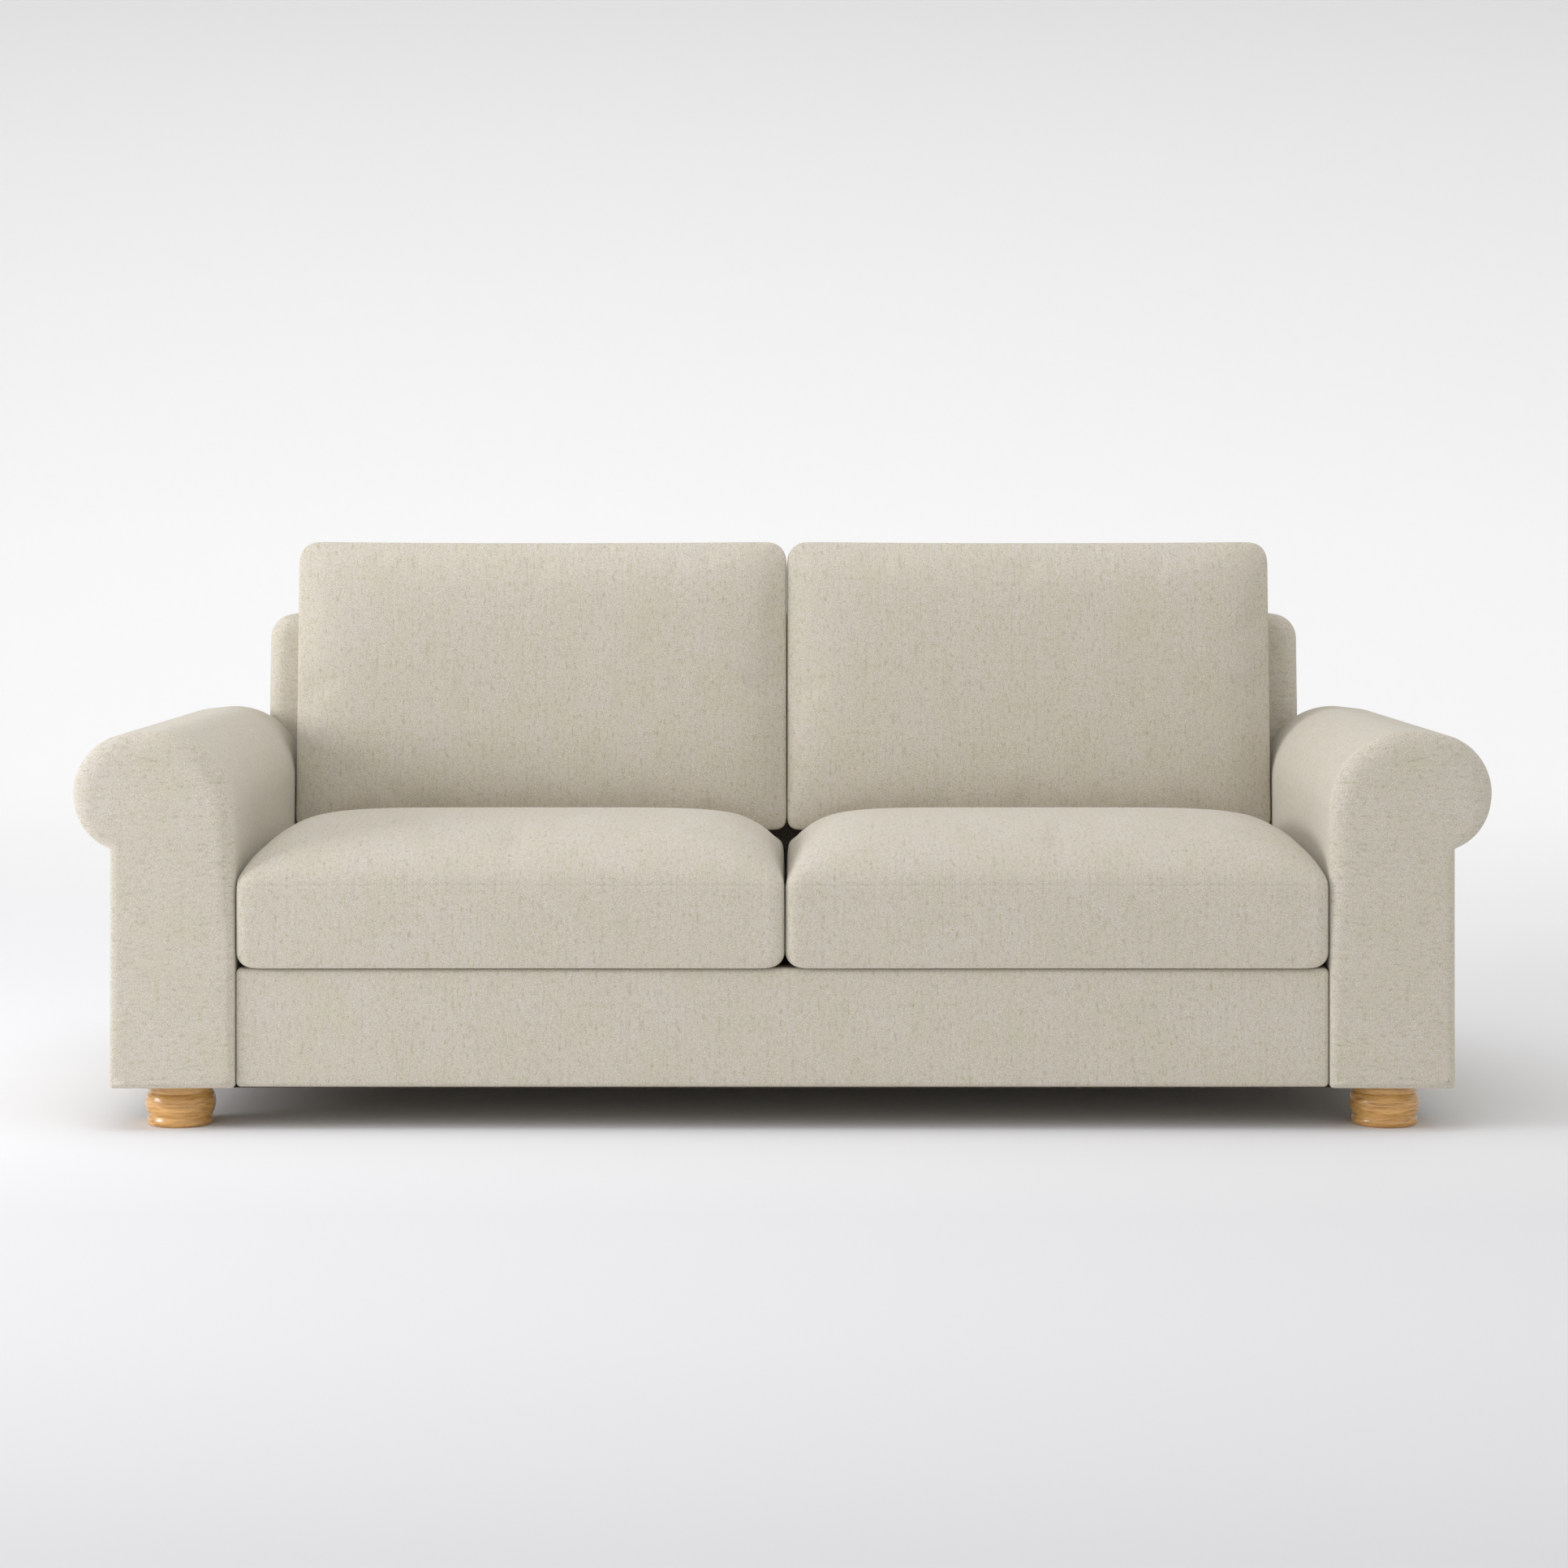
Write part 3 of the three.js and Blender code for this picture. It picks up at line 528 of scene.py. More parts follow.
WOOL = heathered_wool()
OAK = turned_oak()
BEECH = sawn_beech()
STEEL = spring_steel()
DECK_CLOTH = plain_weave("deck_cloth", (0.30, 0.26, 0.20), (0.50, 0.46, 0.37), 260.0)
WEBBING = plain_weave("jute_webbing", (0.24, 0.17, 0.09), (0.46, 0.35, 0.21), 180.0, 0.6)
CAMBRIC = plain_weave("lining_cambric", (0.30, 0.26, 0.20), (0.46, 0.41, 0.33), 320.0)
FOAM = open_foam("cut_foam", (0.66, 0.56, 0.30), (0.80, 0.71, 0.44), 700.0)
WADDING = open_foam("fibre_wadding", (0.74, 0.73, 0.69), (0.88, 0.87, 0.84), 260.0)
ZIP_TAPE = plain_weave("zip_tape", (0.40, 0.36, 0.27), (0.55, 0.50, 0.40), 500.0)
FINISHES = {"beech_frame": BEECH, "steel": STEEL, "deck_cloth": DECK_CLOTH, "cambric": CAMBRIC, "foam": FOAM,
            "wadding": WADDING, "oak_foot": OAK, "linen": WOOL, "zip_tape": ZIP_TAPE}


# Padded blocks: the arms and the back

def arc(centre_x, centre_z, radius, start, end, steps):
    """Rows of x, z and outward direction along an arc"""
    angle = np.linspace(start, end, steps + 1)
    out = np.stack([np.cos(angle), np.sin(angle)], 1)
    return np.hstack([out * radius + (centre_x, centre_z), out])


def run(start, end, direction, spacing):
    """Rows along a straight stretch, both ends included, with one outward direction"""
    start, end = np.array(start, float), np.array(end, float)
    steps = max(1, round(float(np.linalg.norm(end - start)) / spacing))
    place = start + (end - start) * np.linspace(0, 1, steps + 1)[:, None]
    return np.hstack([place, np.tile(np.array(direction, float), (steps + 1, 1))])


def underside(left, right, spacing):
    """The last stretches of an outline, under its right and left hem, and the centres of both hem corners"""
    bottom = COVER_BOTTOM + HEM_EDGE
    stretches = [
        arc(right - HEM_EDGE, bottom, HEM_EDGE, 0, -math.pi / 2, 3),
        run((right - HEM_EDGE, COVER_BOTTOM), (left + HEM_EDGE, COVER_BOTTOM), (0, -1), spacing),
        arc(left + HEM_EDGE, bottom, HEM_EDGE, -math.pi / 2, -math.pi, 3),
    ]
    return stretches, [(left + HEM_EDGE, bottom), (right - HEM_EDGE, bottom)]


def joined(*stretches):
    """One closed outline from stretches that meet, each meeting point kept once"""
    return np.vstack([stretch[:-1] for stretch in stretches])


def smoothstep(low, high, value):
    share = np.clip((value - low) / (high - low), 0, 1)
    return share * share * (3 - 2 * share)


def hemmed(outline, edge, slope):
    """An edge's width for each row, kept narrow near the hem"""
    return np.minimum(edge, HEM_EDGE * 2 + (outline[:, 1] - COVER_BOTTOM) * slope)


def grid_panels(obj, panel_at):
    """Divides a block's two end panels, its first two faces, into a grid; panel_at holds their y by height"""
    low, high = corners_of(obj.data).min(0), corners_of(obj.data).max(0)
    with reworked(obj.data) as work:
        work.faces.ensure_lookup_table()
        for end in (0, 1):
            work.faces[end].material_index = end + 1
        for axis in (0, 2):
            steps = max(2, math.ceil((high[axis] - low[axis]) / PANEL_GRID))
            across = Vector((axis == 0, 0, axis == 2))
            for place in np.linspace(low[axis], high[axis], steps + 1)[1:-1]:
                panel = [face for face in work.faces if face.material_index]
                cut = {*panel, *(part for face in panel for part in (*face.edges, *face.verts))}
                bmesh.ops.bisect_plane(work, geom=list(cut), dist=1e-6,
                                       plane_co=across * place, plane_no=across)
        for face in work.faces:
            if face.material_index:
                for vert in face.verts:
                    vert.co.y = panel_at[face.material_index - 1](np.array([vert.co.z]))[0]
                face.material_index = 0


def padded_block(name, outline, edge, front_at, rear_at, corners, rear_share, depth_share, seams,
                 depth_steps=30):
    """A closed padded block. outline holds rows of x, z and outward x, z. edge is how far in from each row
    the rounded edge begins, and it recedes by depth_share of that: one share, or one for each row. The rear
    edge is rear_share as round as the front. front_at and rear_at give the faces' y at a height.
    corners holds the centres of the small corners, where an inset row goes to its inset outline's corner.
    seams says whether a sewn seam runs round the front, and round the rear, partly down the rounded edge."""
    place, out = outline[:, :2], outline[:, 2:]
    corner_way = np.zeros_like(out)
    for centre in corners:
        near = np.abs(place - centre).max(1) < HEM_EDGE * 1.01
        corner_way[near] = np.sign(centre - np.mean(place, axis=0))
    at_corner = np.abs(corner_way).max(1) > 0
    seam_turn = math.asin(1 - SEAM_SHARE)
    seam_step = SEAM_REACH / ROLL_EDGE
    turns = sorted({*np.linspace(0, math.pi / 2, EDGE_STEPS + 1),
                    seam_turn - seam_step, seam_turn, seam_turn + seam_step})

    def inset_by(amount):
        """The outline drawn in by an amount for each row"""
        plain = place - out * amount[:, None]
        beyond = np.maximum(0, amount - HEM_EDGE)
        cornered = place - out * np.minimum(amount, HEM_EDGE)[:, None] - corner_way * beyond[:, None]
        return np.where(at_corner[:, None], cornered, plain)

    def ring_at(inset, back, rear):
        xz = inset_by(inset)
        y = rear_at(xz[:, 1]) - back if rear else front_at(xz[:, 1]) + back
        return np.stack([xz[:, 0], y, xz[:, 1]], 1)

    def edge_ring(turn, rear):
        width = edge * (rear_share if rear else 1)
        sink = SEAM_DEPTH if turn == seam_turn and seams[rear] else 0.0
        inset = width * (1 - math.sin(turn)) + sink * math.sin(turn)
        return ring_at(inset, width * depth_share * (1 - math.cos(turn)) + sink * math.cos(turn), rear)

    def cap_ring(rear):
        return ring_at(edge * (rear_share if rear else 1) + CAP_RIM, 0.0, rear)

    front_rings = [cap_ring(False)] + [edge_ring(turn, False) for turn in turns]
    rear_rings = [edge_ring(turn, True) for turn in reversed(turns)] + [cap_ring(True)]
    first, last = front_rings[-1], rear_rings[0]
    body_rings = [first + (last - first) * share for share in np.linspace(0, 1, depth_steps + 1)[1:-1]]
    rings = front_rings + body_rings + rear_rings
    count = len(outline)
    faces = [tuple(range(count)), tuple(range((len(rings) - 1) * count, len(rings) * count))]
    obj = add_mesh(name, np.vstack(rings), faces + ring_faces(len(rings), count))
    grid_panels(obj, (front_at, rear_at))
    face_outwards(obj)
    lay_cloth(obj.data, block_cloth(place, len(rings)))
    return obj


def block_cloth(section, rings):
    """Cloth for a padded block: it wraps round the block's section, and lies flat on its end panels"""
    lengths = np.concatenate([[0], np.cumsum(np.linalg.norm(np.diff(section, axis=0), axis=1))])
    along_section = np.tile(lengths, rings)

    def cloth_at(corner, place, middle, normal):
        on_panel = np.abs(normal[:, 1]) > PANEL_FACING
        panel_cloth = np.stack([place[:, 2], place[:, 0]], 1)
        wrap_cloth = np.stack([place[:, 1], along_section[np.minimum(corner, len(along_section) - 1)]], 1)
        return np.where(on_panel[:, None], panel_cloth, wrap_cloth)
    return cloth_at


def ring_faces(rings, count):
    """The quads between rings of corners that lie one after another"""
    faces = []
    for ring in range(rings - 1):
        for i in range(count):
            a, b = ring * count + i, ring * count + (i + 1) % count
            faces.append((a, b, b + count, a + count))
    return faces


def front_plane(height):
    return np.full_like(height, CAD_BOX[0].y)


def rear_plane(height):
    return np.full_like(height, CAD_BOX[1].y)


def back_face(height):
    """Y of the back's leaning front face at a height"""
    return rear_plane(height) - BACK_THICKNESS + (height - DECK_HEIGHT) * math.tan(RAKE)


def arm_rear(height):
    return back_face(height) - SLIT


def make_arm(name, side):
    """One arm: flat panels under a roll that hangs over the outer one, with a front panel sewn in"""
    low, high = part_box("right_arm_cover")
    inner, outer_roll = low.x, high.x
    panel = outer_roll - ROLL_OVERHANG - PANEL_TUCK
    inner_x, inner_z = inner + INNER_ROLL_RADIUS, ARM_HEIGHT - INNER_ROLL_RADIUS
    roll_x, roll_z = outer_roll - ROLL_RADIUS, ARM_HEIGHT - ROLL_DROP - ROLL_RADIUS
    apart_x, apart_z = roll_x - inner_x, roll_z - inner_z
    turn = math.acos((INNER_ROLL_RADIUS - ROLL_RADIUS) / math.hypot(apart_x, apart_z))
    tangent = math.atan2(apart_z, apart_x) + turn
    crease = -math.acos((panel - roll_x) / ROLL_RADIUS)
    crease_z = roll_z + ROLL_RADIUS * math.sin(crease)
    tangent_out = (math.cos(tangent), math.sin(tangent))
    inner_end = np.array((inner_x, inner_z)) + INNER_ROLL_RADIUS * np.array(tangent_out)
    roll_start = np.array((roll_x, roll_z)) + ROLL_RADIUS * np.array(tangent_out)
    hem_z = COVER_BOTTOM + HEM_EDGE
    bottom, corners = underside(inner, panel, ARM_HEM_SPACING)
    outline = joined(
        run((inner, hem_z), (inner, inner_z), (-1, 0), ARM_SPACING),
        arc(inner_x, inner_z, INNER_ROLL_RADIUS, math.pi, tangent, 22),
        run(inner_end, roll_start, tangent_out, ARM_TOP_SPACING),
        arc(roll_x, roll_z, ROLL_RADIUS, tangent, crease, 34)[:-1],
        run((panel, crease_z), (panel, hem_z), (1, 0), ARM_SPACING),
        *bottom,
    )
    crease_at = int(np.argmin(np.linalg.norm(outline[:, :2] - (panel, crease_z), axis=1)))
    outline[crease_at, 2:] = CREASE_NORMAL
    x, z = outline[:, 0], outline[:, 1]
    rounder = np.where(x > roll_x, smoothstep(crease_z, roll_z + OUTER_EDGE_RISE, z),
                       smoothstep(*INNER_EDGE_HEIGHTS, z))
    edge = hemmed(outline, PANEL_EDGE + (ROLL_EDGE - PANEL_EDGE) * rounder, ARM_HEM_SLOPE)
    depth_share = INNER_EDGE_DEPTH_SHARE + (EDGE_DEPTH_SHARE - INNER_EDGE_DEPTH_SHARE) * smoothstep(
        inner, inner_x, x)
    obj = padded_block(name, outline, edge, front_plane, arm_rear, corners, REAR_EDGE_SHARE, depth_share,
                       (True, False))
    crown_front(obj, inner, outer_roll)
    if side < 0:
        mirror_piece(obj)
    return obj


def crown_front(obj, left, right):
    """Crowns an arm's flat front panel a little from side to side, as its padding does"""
    middle, half = (left + right) / 2, (right - left) / 2
    front = CAD_BOX[0].y
    rows = corners_of(obj.data)
    fade = 1 - smoothstep(front + CROWN_FADE[0], front + CROWN_FADE[1], rows[:, 1])
    rows[:, 1] -= PANEL_CROWN * (1 - ((rows[:, 0] - middle) / half) ** 2) * fade
    set_corners(obj.data, rows)


def mirror_piece(obj):
    """Mirrors a finished mesh to the other side of the sofa, faces still outwards"""
    rows = corners_of(obj.data)
    rows[:, 0] *= -1
    set_corners(obj.data, rows)
    obj.data.flip_normals()


def make_back():
    """The upright back behind the arms, wider than the seat, with rounded top corners"""
    half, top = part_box("back_cover")[1].x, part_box("back_cover")[1].z
    corner_x, corner_z = half - BACK_CORNER, top - BACK_CORNER
    hem_z = COVER_BOTTOM + HEM_EDGE
    bottom, corners = underside(-half, half, BACK_SPACING)
    outline = joined(
        run((-half, hem_z), (-half, corner_z), (-1, 0), BACK_SPACING),
        arc(-corner_x, corner_z, BACK_CORNER, math.pi, math.pi / 2, 8),
        run((-corner_x, top), (corner_x, top), (0, 1), BACK_SPACING),
        arc(corner_x, corner_z, BACK_CORNER, math.pi / 2, 0, 8),
        run((half, corner_z), (half, hem_z), (1, 0), BACK_SPACING),
        *bottom,
    )
    edge = hemmed(outline, np.where(outline[:, 3] < FACING_DOWN, HEM_EDGE * 2, BACK_EDGE), BACK_HEM_SLOPE)
    return padded_block("back_upholstery", outline, edge, back_face, rear_plane, corners, 1, 1, (True, True),
                        BACK_DEPTH_STEPS)


# Lattice boxes: cushions, base front and platform

def spread_rows(low, high, edge, spacing):
    """Places from low to high: closer and closer together towards both ends, and even between"""
    near = edge * np.linspace(0, 1, END_ROWS + 1)[:-1] ** END_CROWDING
    inner = np.linspace(low + edge, high - edge, max(2, round((high - low - 2 * edge) / spacing) + 1))
    return sorted({*np.round(low + near, 6), *np.round(inner, 6), *np.round(high - near, 6)})


def lattice_skin(xs, ys, zs):
    """Corners and faces of a box cut along the given places, its faces pointing outwards"""
    index, points, faces = {}, [], []

    def corner(i, j, k):
        if (i, j, k) not in index:
            index[i, j, k] = len(points)
            points.append((xs[i], ys[j], zs[k]))
        return index[i, j, k]

    def wall(first, second, at, outward):
        for a in range(first):
            for b in range(second):
                face = [corner(*at(i, j)) for i, j in ((a, b), (a + 1, b), (a + 1, b + 1), (a, b + 1))]
                faces.append(face if outward else face[::-1])

    nx, ny, nz = len(xs) - 1, len(ys) - 1, len(zs) - 1
    wall(nx, ny, lambda a, b: (a, b, nz), True)
    wall(nx, ny, lambda a, b: (a, b, 0), False)
    wall(nx, nz, lambda a, b: (a, 0, b), True)
    wall(nx, nz, lambda a, b: (a, ny, b), False)
    wall(ny, nz, lambda a, b: (nx, a, b), True)
    wall(ny, nz, lambda a, b: (0, a, b), False)
    return np.array(points, float), faces


def rounded_box(name, low, high, radius, spacing):
    """A box with rounded edges, its faces a lattice of quads"""
    points, faces = lattice_skin(*(spread_rows(low[i], high[i], radius, spacing) for i in range(3)))
    core = np.clip(points, np.array(low) + radius, np.array(high) - radius)
    away = points - core
    length = np.linalg.norm(away, axis=1, keepdims=True)
    return add_mesh(name, core + away / np.maximum(length, 1e-9) * np.where(length > 0, radius, 0), faces)


def round_plan(x, y, half_x, half_y, corner):
    """Bends a square plan's corners to a radius: places on its edges stay on the edges"""
    inner_x = np.clip(x, corner - half_x, half_x - corner)
    inner_y = np.clip(y, corner - half_y, half_y - corner)
    away = np.stack([x - inner_x, y - inner_y], 1)
    reach = np.abs(away).max(1)
    length = np.linalg.norm(away, axis=1)
    scale = np.divide(reach, length, out=np.ones_like(reach), where=length > 0)
    return inner_x + away[:, 0] * scale, inner_y + away[:, 1] * scale


def seat_top(side):
    """Height of a seat cushion's top over its seam, as it was stuffed: full at the front third, falling back.
    The side against the arm is rounder than the side against the other cushion."""
    def fall(reach, squareness, fullness):
        return (1 - reach ** squareness) ** fullness

    def height(across, along):
        reach = np.minimum(1, np.abs(across))
        ahead = np.clip((SEAT_PEAK_SHARE - along) / SEAT_PEAK_SHARE, 0, 1)
        behind = np.clip((along - SEAT_PEAK_SHARE) / (1 - SEAT_PEAK_SHARE), 0, 1)
        lengthwise = fall(ahead, *SEAT_FRONT_FALL) * (1 - (1 - SEAT_REAR_SHARE) * behind ** SEAT_REAR_CURVE)
        rear_round = np.sqrt(1 - np.clip((along - 1 + SEAT_REAR_ROUND) / SEAT_REAR_ROUND, 0, 1))
        sideways = np.where(across * side > 0, fall(reach, *SEAT_ARM_FALL), fall(reach, *SEAT_MIDDLE_FALL))
        return SEAT_CROWN * lengthwise * sideways * rear_round
    return height


def back_top(across, along):
    """Height of a back cushion's front over its seam: full over most of the face"""
    def fall(place):
        return np.sqrt(1 - np.minimum(1, np.abs(place)) ** BACK_SQUARENESS)
    return BACK_CROWN * fall(across) * fall(2 * along - 1)


def cushion_form(kind, width, depth, top_at, shrink=0.0, spacing=CUSHION_SPACING):
    """A boxed cushion lying on its flat face: X across, Y from its near edge, Z up to its crown"""
    radius = CUSHION_BOTTOM_RADIUS
    half_x, half_y = width / 2 - shrink, depth / 2 - shrink
    xs = spread_rows(-half_x, half_x, CUSHION_END, spacing)
    ys = spread_rows(-half_y, half_y, CUSHION_END, spacing)
    low_rows = radius * (1 - np.cos(np.linspace(0, math.pi / 2, 7)))
    walls = max(2, round((kind.edge - radius) / spacing))
    zs = [*low_rows, *np.linspace(radius, kind.edge, walls + 1)[1:]]
    points, faces = lattice_skin(xs, ys, zs)
    x, y, z = points.T
    top = z >= kind.edge - 1e-9
    below = np.maximum(0, radius - z)
    inset = radius - np.sqrt(np.maximum(0, radius ** 2 - below ** 2))
    rise = np.clip((z - radius) / (kind.edge - radius), 0, 1)
    taut = (2 * rise - 1) ** 2
    across, along = x / half_x, (y + half_y) / (2 * half_y)
    flat_x, flat_y = round_plan(x, y, half_x, half_y, np.where(y < 0, *kind.corners))
    near_side, near_end = (np.abs(place) ** PULL_SQUARENESS for place in (across, y / half_y))
    pull_x = kind.draw_in[1] * (1 - np.clip(-y / half_y, 0, 1) ** 2) * near_side * rise ** 2
    pull_y = kind.draw_in[0] * (1 - (x / half_x) ** 2) * near_end * taut
    flat_x = flat_x * (1 - inset / half_x) - np.sign(x) * pull_x
    flat_y = flat_y * (1 - FLAT_END_SHARE * inset / half_y) - np.sign(y) * pull_y
    height = np.where(top, kind.edge + top_at(across, along) - shrink, np.maximum(z, shrink))
    return np.stack([flat_x, flat_y + depth / 2, height], 1), faces


def round_shoulder(points, edge, at):
    """Draws one side of a cushion's crown in a little over the seam: it leans away from the next cushion"""
    over = smoothstep(0, SHOULDER_RISE, points[:, 2] - edge)
    near = np.clip(points[:, 0] / at, 0, 1) ** SHOULDER_SQUARENESS
    points[:, 0] -= math.copysign(SHOULDER_DRAW, at) * over * near


def cushion_cloth(kind):
    """Cloth for a boxed cushion: its panels meet at the seam round the top of its walls"""
    def cloth_at(corner, place, middle, normal):
        x, y, z = place.T
        over = middle[:, 2] > kind.edge
        sideways = np.abs(normal[:, 0]) > np.abs(normal[:, 1])
        flat = np.abs(normal[:, 2]) > FLAT_FACING
        across = np.where(over | flat | ~sideways, x, y)
        along = np.where(over, y + z * kind.cloth_share, np.where(flat, y, z))
        return np.stack([across, along], 1)
    return cloth_at


def sew_seam(obj, height):
    """Cuts three close rings round a piece at a height and draws the middle one in: a sewn seam"""
    with reworked(obj.data) as work:
        for offset in (-CUSHION_SEAM_REACH, 0, CUSHION_SEAM_REACH):
            bmesh.ops.bisect_plane(work, geom=[*work.verts, *work.edges, *work.faces], dist=1e-6,
                                   plane_co=(0, 0, height + offset), plane_no=(0, 0, 1))
        work.normal_update()
        for vert in work.verts:
            near = 1 - abs(vert.co.z - height) / CUSHION_SEAM_REACH
            if near > 0:
                vert.co -= vert.normal * CUSHION_SEAM_DEPTH * near


def stuff(obj, cap):
    """Blows a cushion up a little under its own cloth, so that it gets a stuffed piece's soft uneven swell"""
    start = corners_of(obj.data)
    cloth = obj.modifiers.new("stuffing", "CLOTH")
    for setting, value in STUFFING.items():
        setattr(cloth.settings, setting, value)
    cloth.settings.effector_weights.gravity = 0
    cloth.point_cache.frame_start = 1
    cloth.point_cache.frame_end = STUFFING_FRAMES
    scene = bpy.context.scene
    for step in range(1, STUFFING_FRAMES + 1):
        scene.frame_set(step)
    shaped = obj.evaluated_get(bpy.context.evaluated_depsgraph_get())
    swollen = corners_of(shaped.data)
    obj.modifiers.remove(cloth)
    scene.frame_set(1)
    move = swollen - start
    length = np.linalg.norm(move, axis=1, keepdims=True)
    set_corners(obj.data, start + move * np.minimum(1, cap / np.maximum(length, 1e-9)))


def refine(obj):
    """Applies one level of subdivision to a mesh"""
    modifier = obj.modifiers.new("fine", "SUBSURF")
    modifier.levels = modifier.render_levels = 1
    keep_modified(obj, modifier)
    obj.data.polygons.foreach_set("use_smooth", [True] * len(obj.data.polygons))


def soften(cover, edge, cap):
    """Stuffs a cover in a cloth simulation: its crown swells unevenly within its own height, and its
    walls stay put."""
    start = corners_of(cover.data)
    crown = start[:, 2].max() - edge
    stuff(cover, cap)
    share = smoothstep(0, SWELL_FADE, (start[:, 2] - edge) / crown)
    rows = start + (corners_of(cover.data) - start) * share[:, None]
    over = rows[:, 2] > edge
    rows[over, 2] = edge + (rows[over, 2] - edge) * crown / (rows[:, 2].max() - edge)
    set_corners(cover.data, rows)
    refine(cover)


def sew_cushion(name, kind, width, depth, top_at, zip_y, zip_way, meets_at=None):
    """A boxed cushion with its seam round the top of the walls: its cover, its filling and its zip's parts"""
    points, faces = cushion_form(kind, width, depth, top_at)
    if meets_at:
        round_shoulder(points, kind.edge, meets_at)
    cover = add_mesh(f"{name}_wool", points, faces)
    soften(cover, kind.edge, kind.swell)
    sew_seam(cover, kind.edge)
    lay_cloth(cover.data, cushion_cloth(kind))
    filling = add_mesh(f"{name}_{kind.filling}",
                       *cushion_form(kind, width, depth, top_at, kind.shrink, FILLING_SPACING))
    return [cover, filling, *make_zip(f"{name}_zip", cover, zip_y, zip_way, kind.zip_height)]


def seat_place(name, side):
    """A seat cushion's middle, width, front and depth: it fills its side, its front level with the arms'"""
    inner = SEAT_MEETING + side * SLIT
    outer = side * (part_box("right_arm_cover")[0].x - 3 * SLIT)
    front = CAD_BOX[0].y
    return (inner + outer) / 2, abs(outer - inner), front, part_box(f"{name}_cover")[1].y - front


def make_seat_cushion(name, side):
    """A foam cushion, pulled tight, with its zip at the rear"""
    centre, width, front, depth = seat_place(name, side)
    parts = sew_cushion(name, SEAT, width, depth, seat_top(side), depth, 1, -side * width / 2)
    for part in parts:
        part.data.transform(Matrix.Translation((centre, front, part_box(f"{name}_cover")[0].z)))
    return parts


def settle(rows, low, side):
    """Lets a leaning back cushion's lower end down on the seat cushion under it"""
    centre, width, front, depth = seat_place(f"{SIDES[side > 0][0]}_seat_cushion", side)
    x, y, z = rows.T
    seat = seat_top(side)((x - centre) / (width / 2), (y - front) / depth) + SEAT.edge + DECK_HEIGHT
    lean = (y.max() - y) * math.tan(RAKE)
    room = np.maximum(0, np.minimum(lean, low.z + lean - seat - MM))
    rows[:, 2] -= room * (1 - smoothstep(0, BACK_SETTLE, z - low.z - lean))
    return rows


def make_back_cushion(name, side):
    """A softer fibre-filled cushion, leaning on the back and standing on the rear of the seat, with its zip
    below. The two touch in the middle."""
    low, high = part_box(f"{name}_cover")
    meeting = (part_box("left_back_cushion_cover")[1].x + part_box("right_back_cushion_cover")[0].x) / 2
    inner, outer = meeting + side * SLIT, high.x if side > 0 else low.x
    rise = high.z - low.z
    depth = (rise - BACK.edge * math.sin(RAKE)) / math.cos(RAKE)
    parts = sew_cushion(name, BACK, abs(outer - inner), depth, back_top, 0.0, -1)
    cover = parts[0]
    for part in parts:
        part.data.transform(Matrix.Rotation(math.pi / 2 - RAKE, 4, "X"))
    rows = corners_of(cover.data)
    lowest, highest = rows[:, 2].min(), rows[:, 2].max()
    stretch = rise / (highest - lowest)
    place = Vector(((inner + outer) / 2, high.y - rows[:, 1].max(), low.z - lowest * stretch))
    for part in parts:
        part.data.transform(Matrix.Translation(place) @ Matrix.Scale(stretch, 4, (0, 0, 1)))
    set_corners(cover.data, settle(corners_of(cover.data), low, side))
    return parts


# Zips

def wall_at(tree, x, z, depth, way):
    """Y of a cushion's wall at one place, found from outside it"""
    start = Vector((x, depth + way * WALL_REACH, z))
    hit = tree.ray_cast(start, Vector((0, -way, 0)), 2 * WALL_REACH)[0]
    return hit.y if hit else depth


def ribbon(name, xs, zs, surface, way):
    """A thin strip of cloth that lies on a wall: surface holds the wall's y for each x and z"""
    points, faces = lattice_skin(range(len(xs)), (TAPE_LIFT, TAPE_LIFT + TAPE_THICKNESS), range(len(zs)))
    i, k = points[:, 0].astype(int), points[:, 2].astype(int)
    strip = add_mesh(name, np.stack([xs[i], surface[i, k] + way * points[:, 1], zs[k]], 1), faces)
    face_outwards(strip)
    return strip


def guide_line(name, points):
    """A bare line through points, closed when its ends meet"""
    closed = np.allclose(points[0], points[-1])
    count = len(points) - closed
    edges = [(i, (i + 1) % count) for i in range(count - (not closed))]
    return add_mesh(name, points[:count], [], edges)


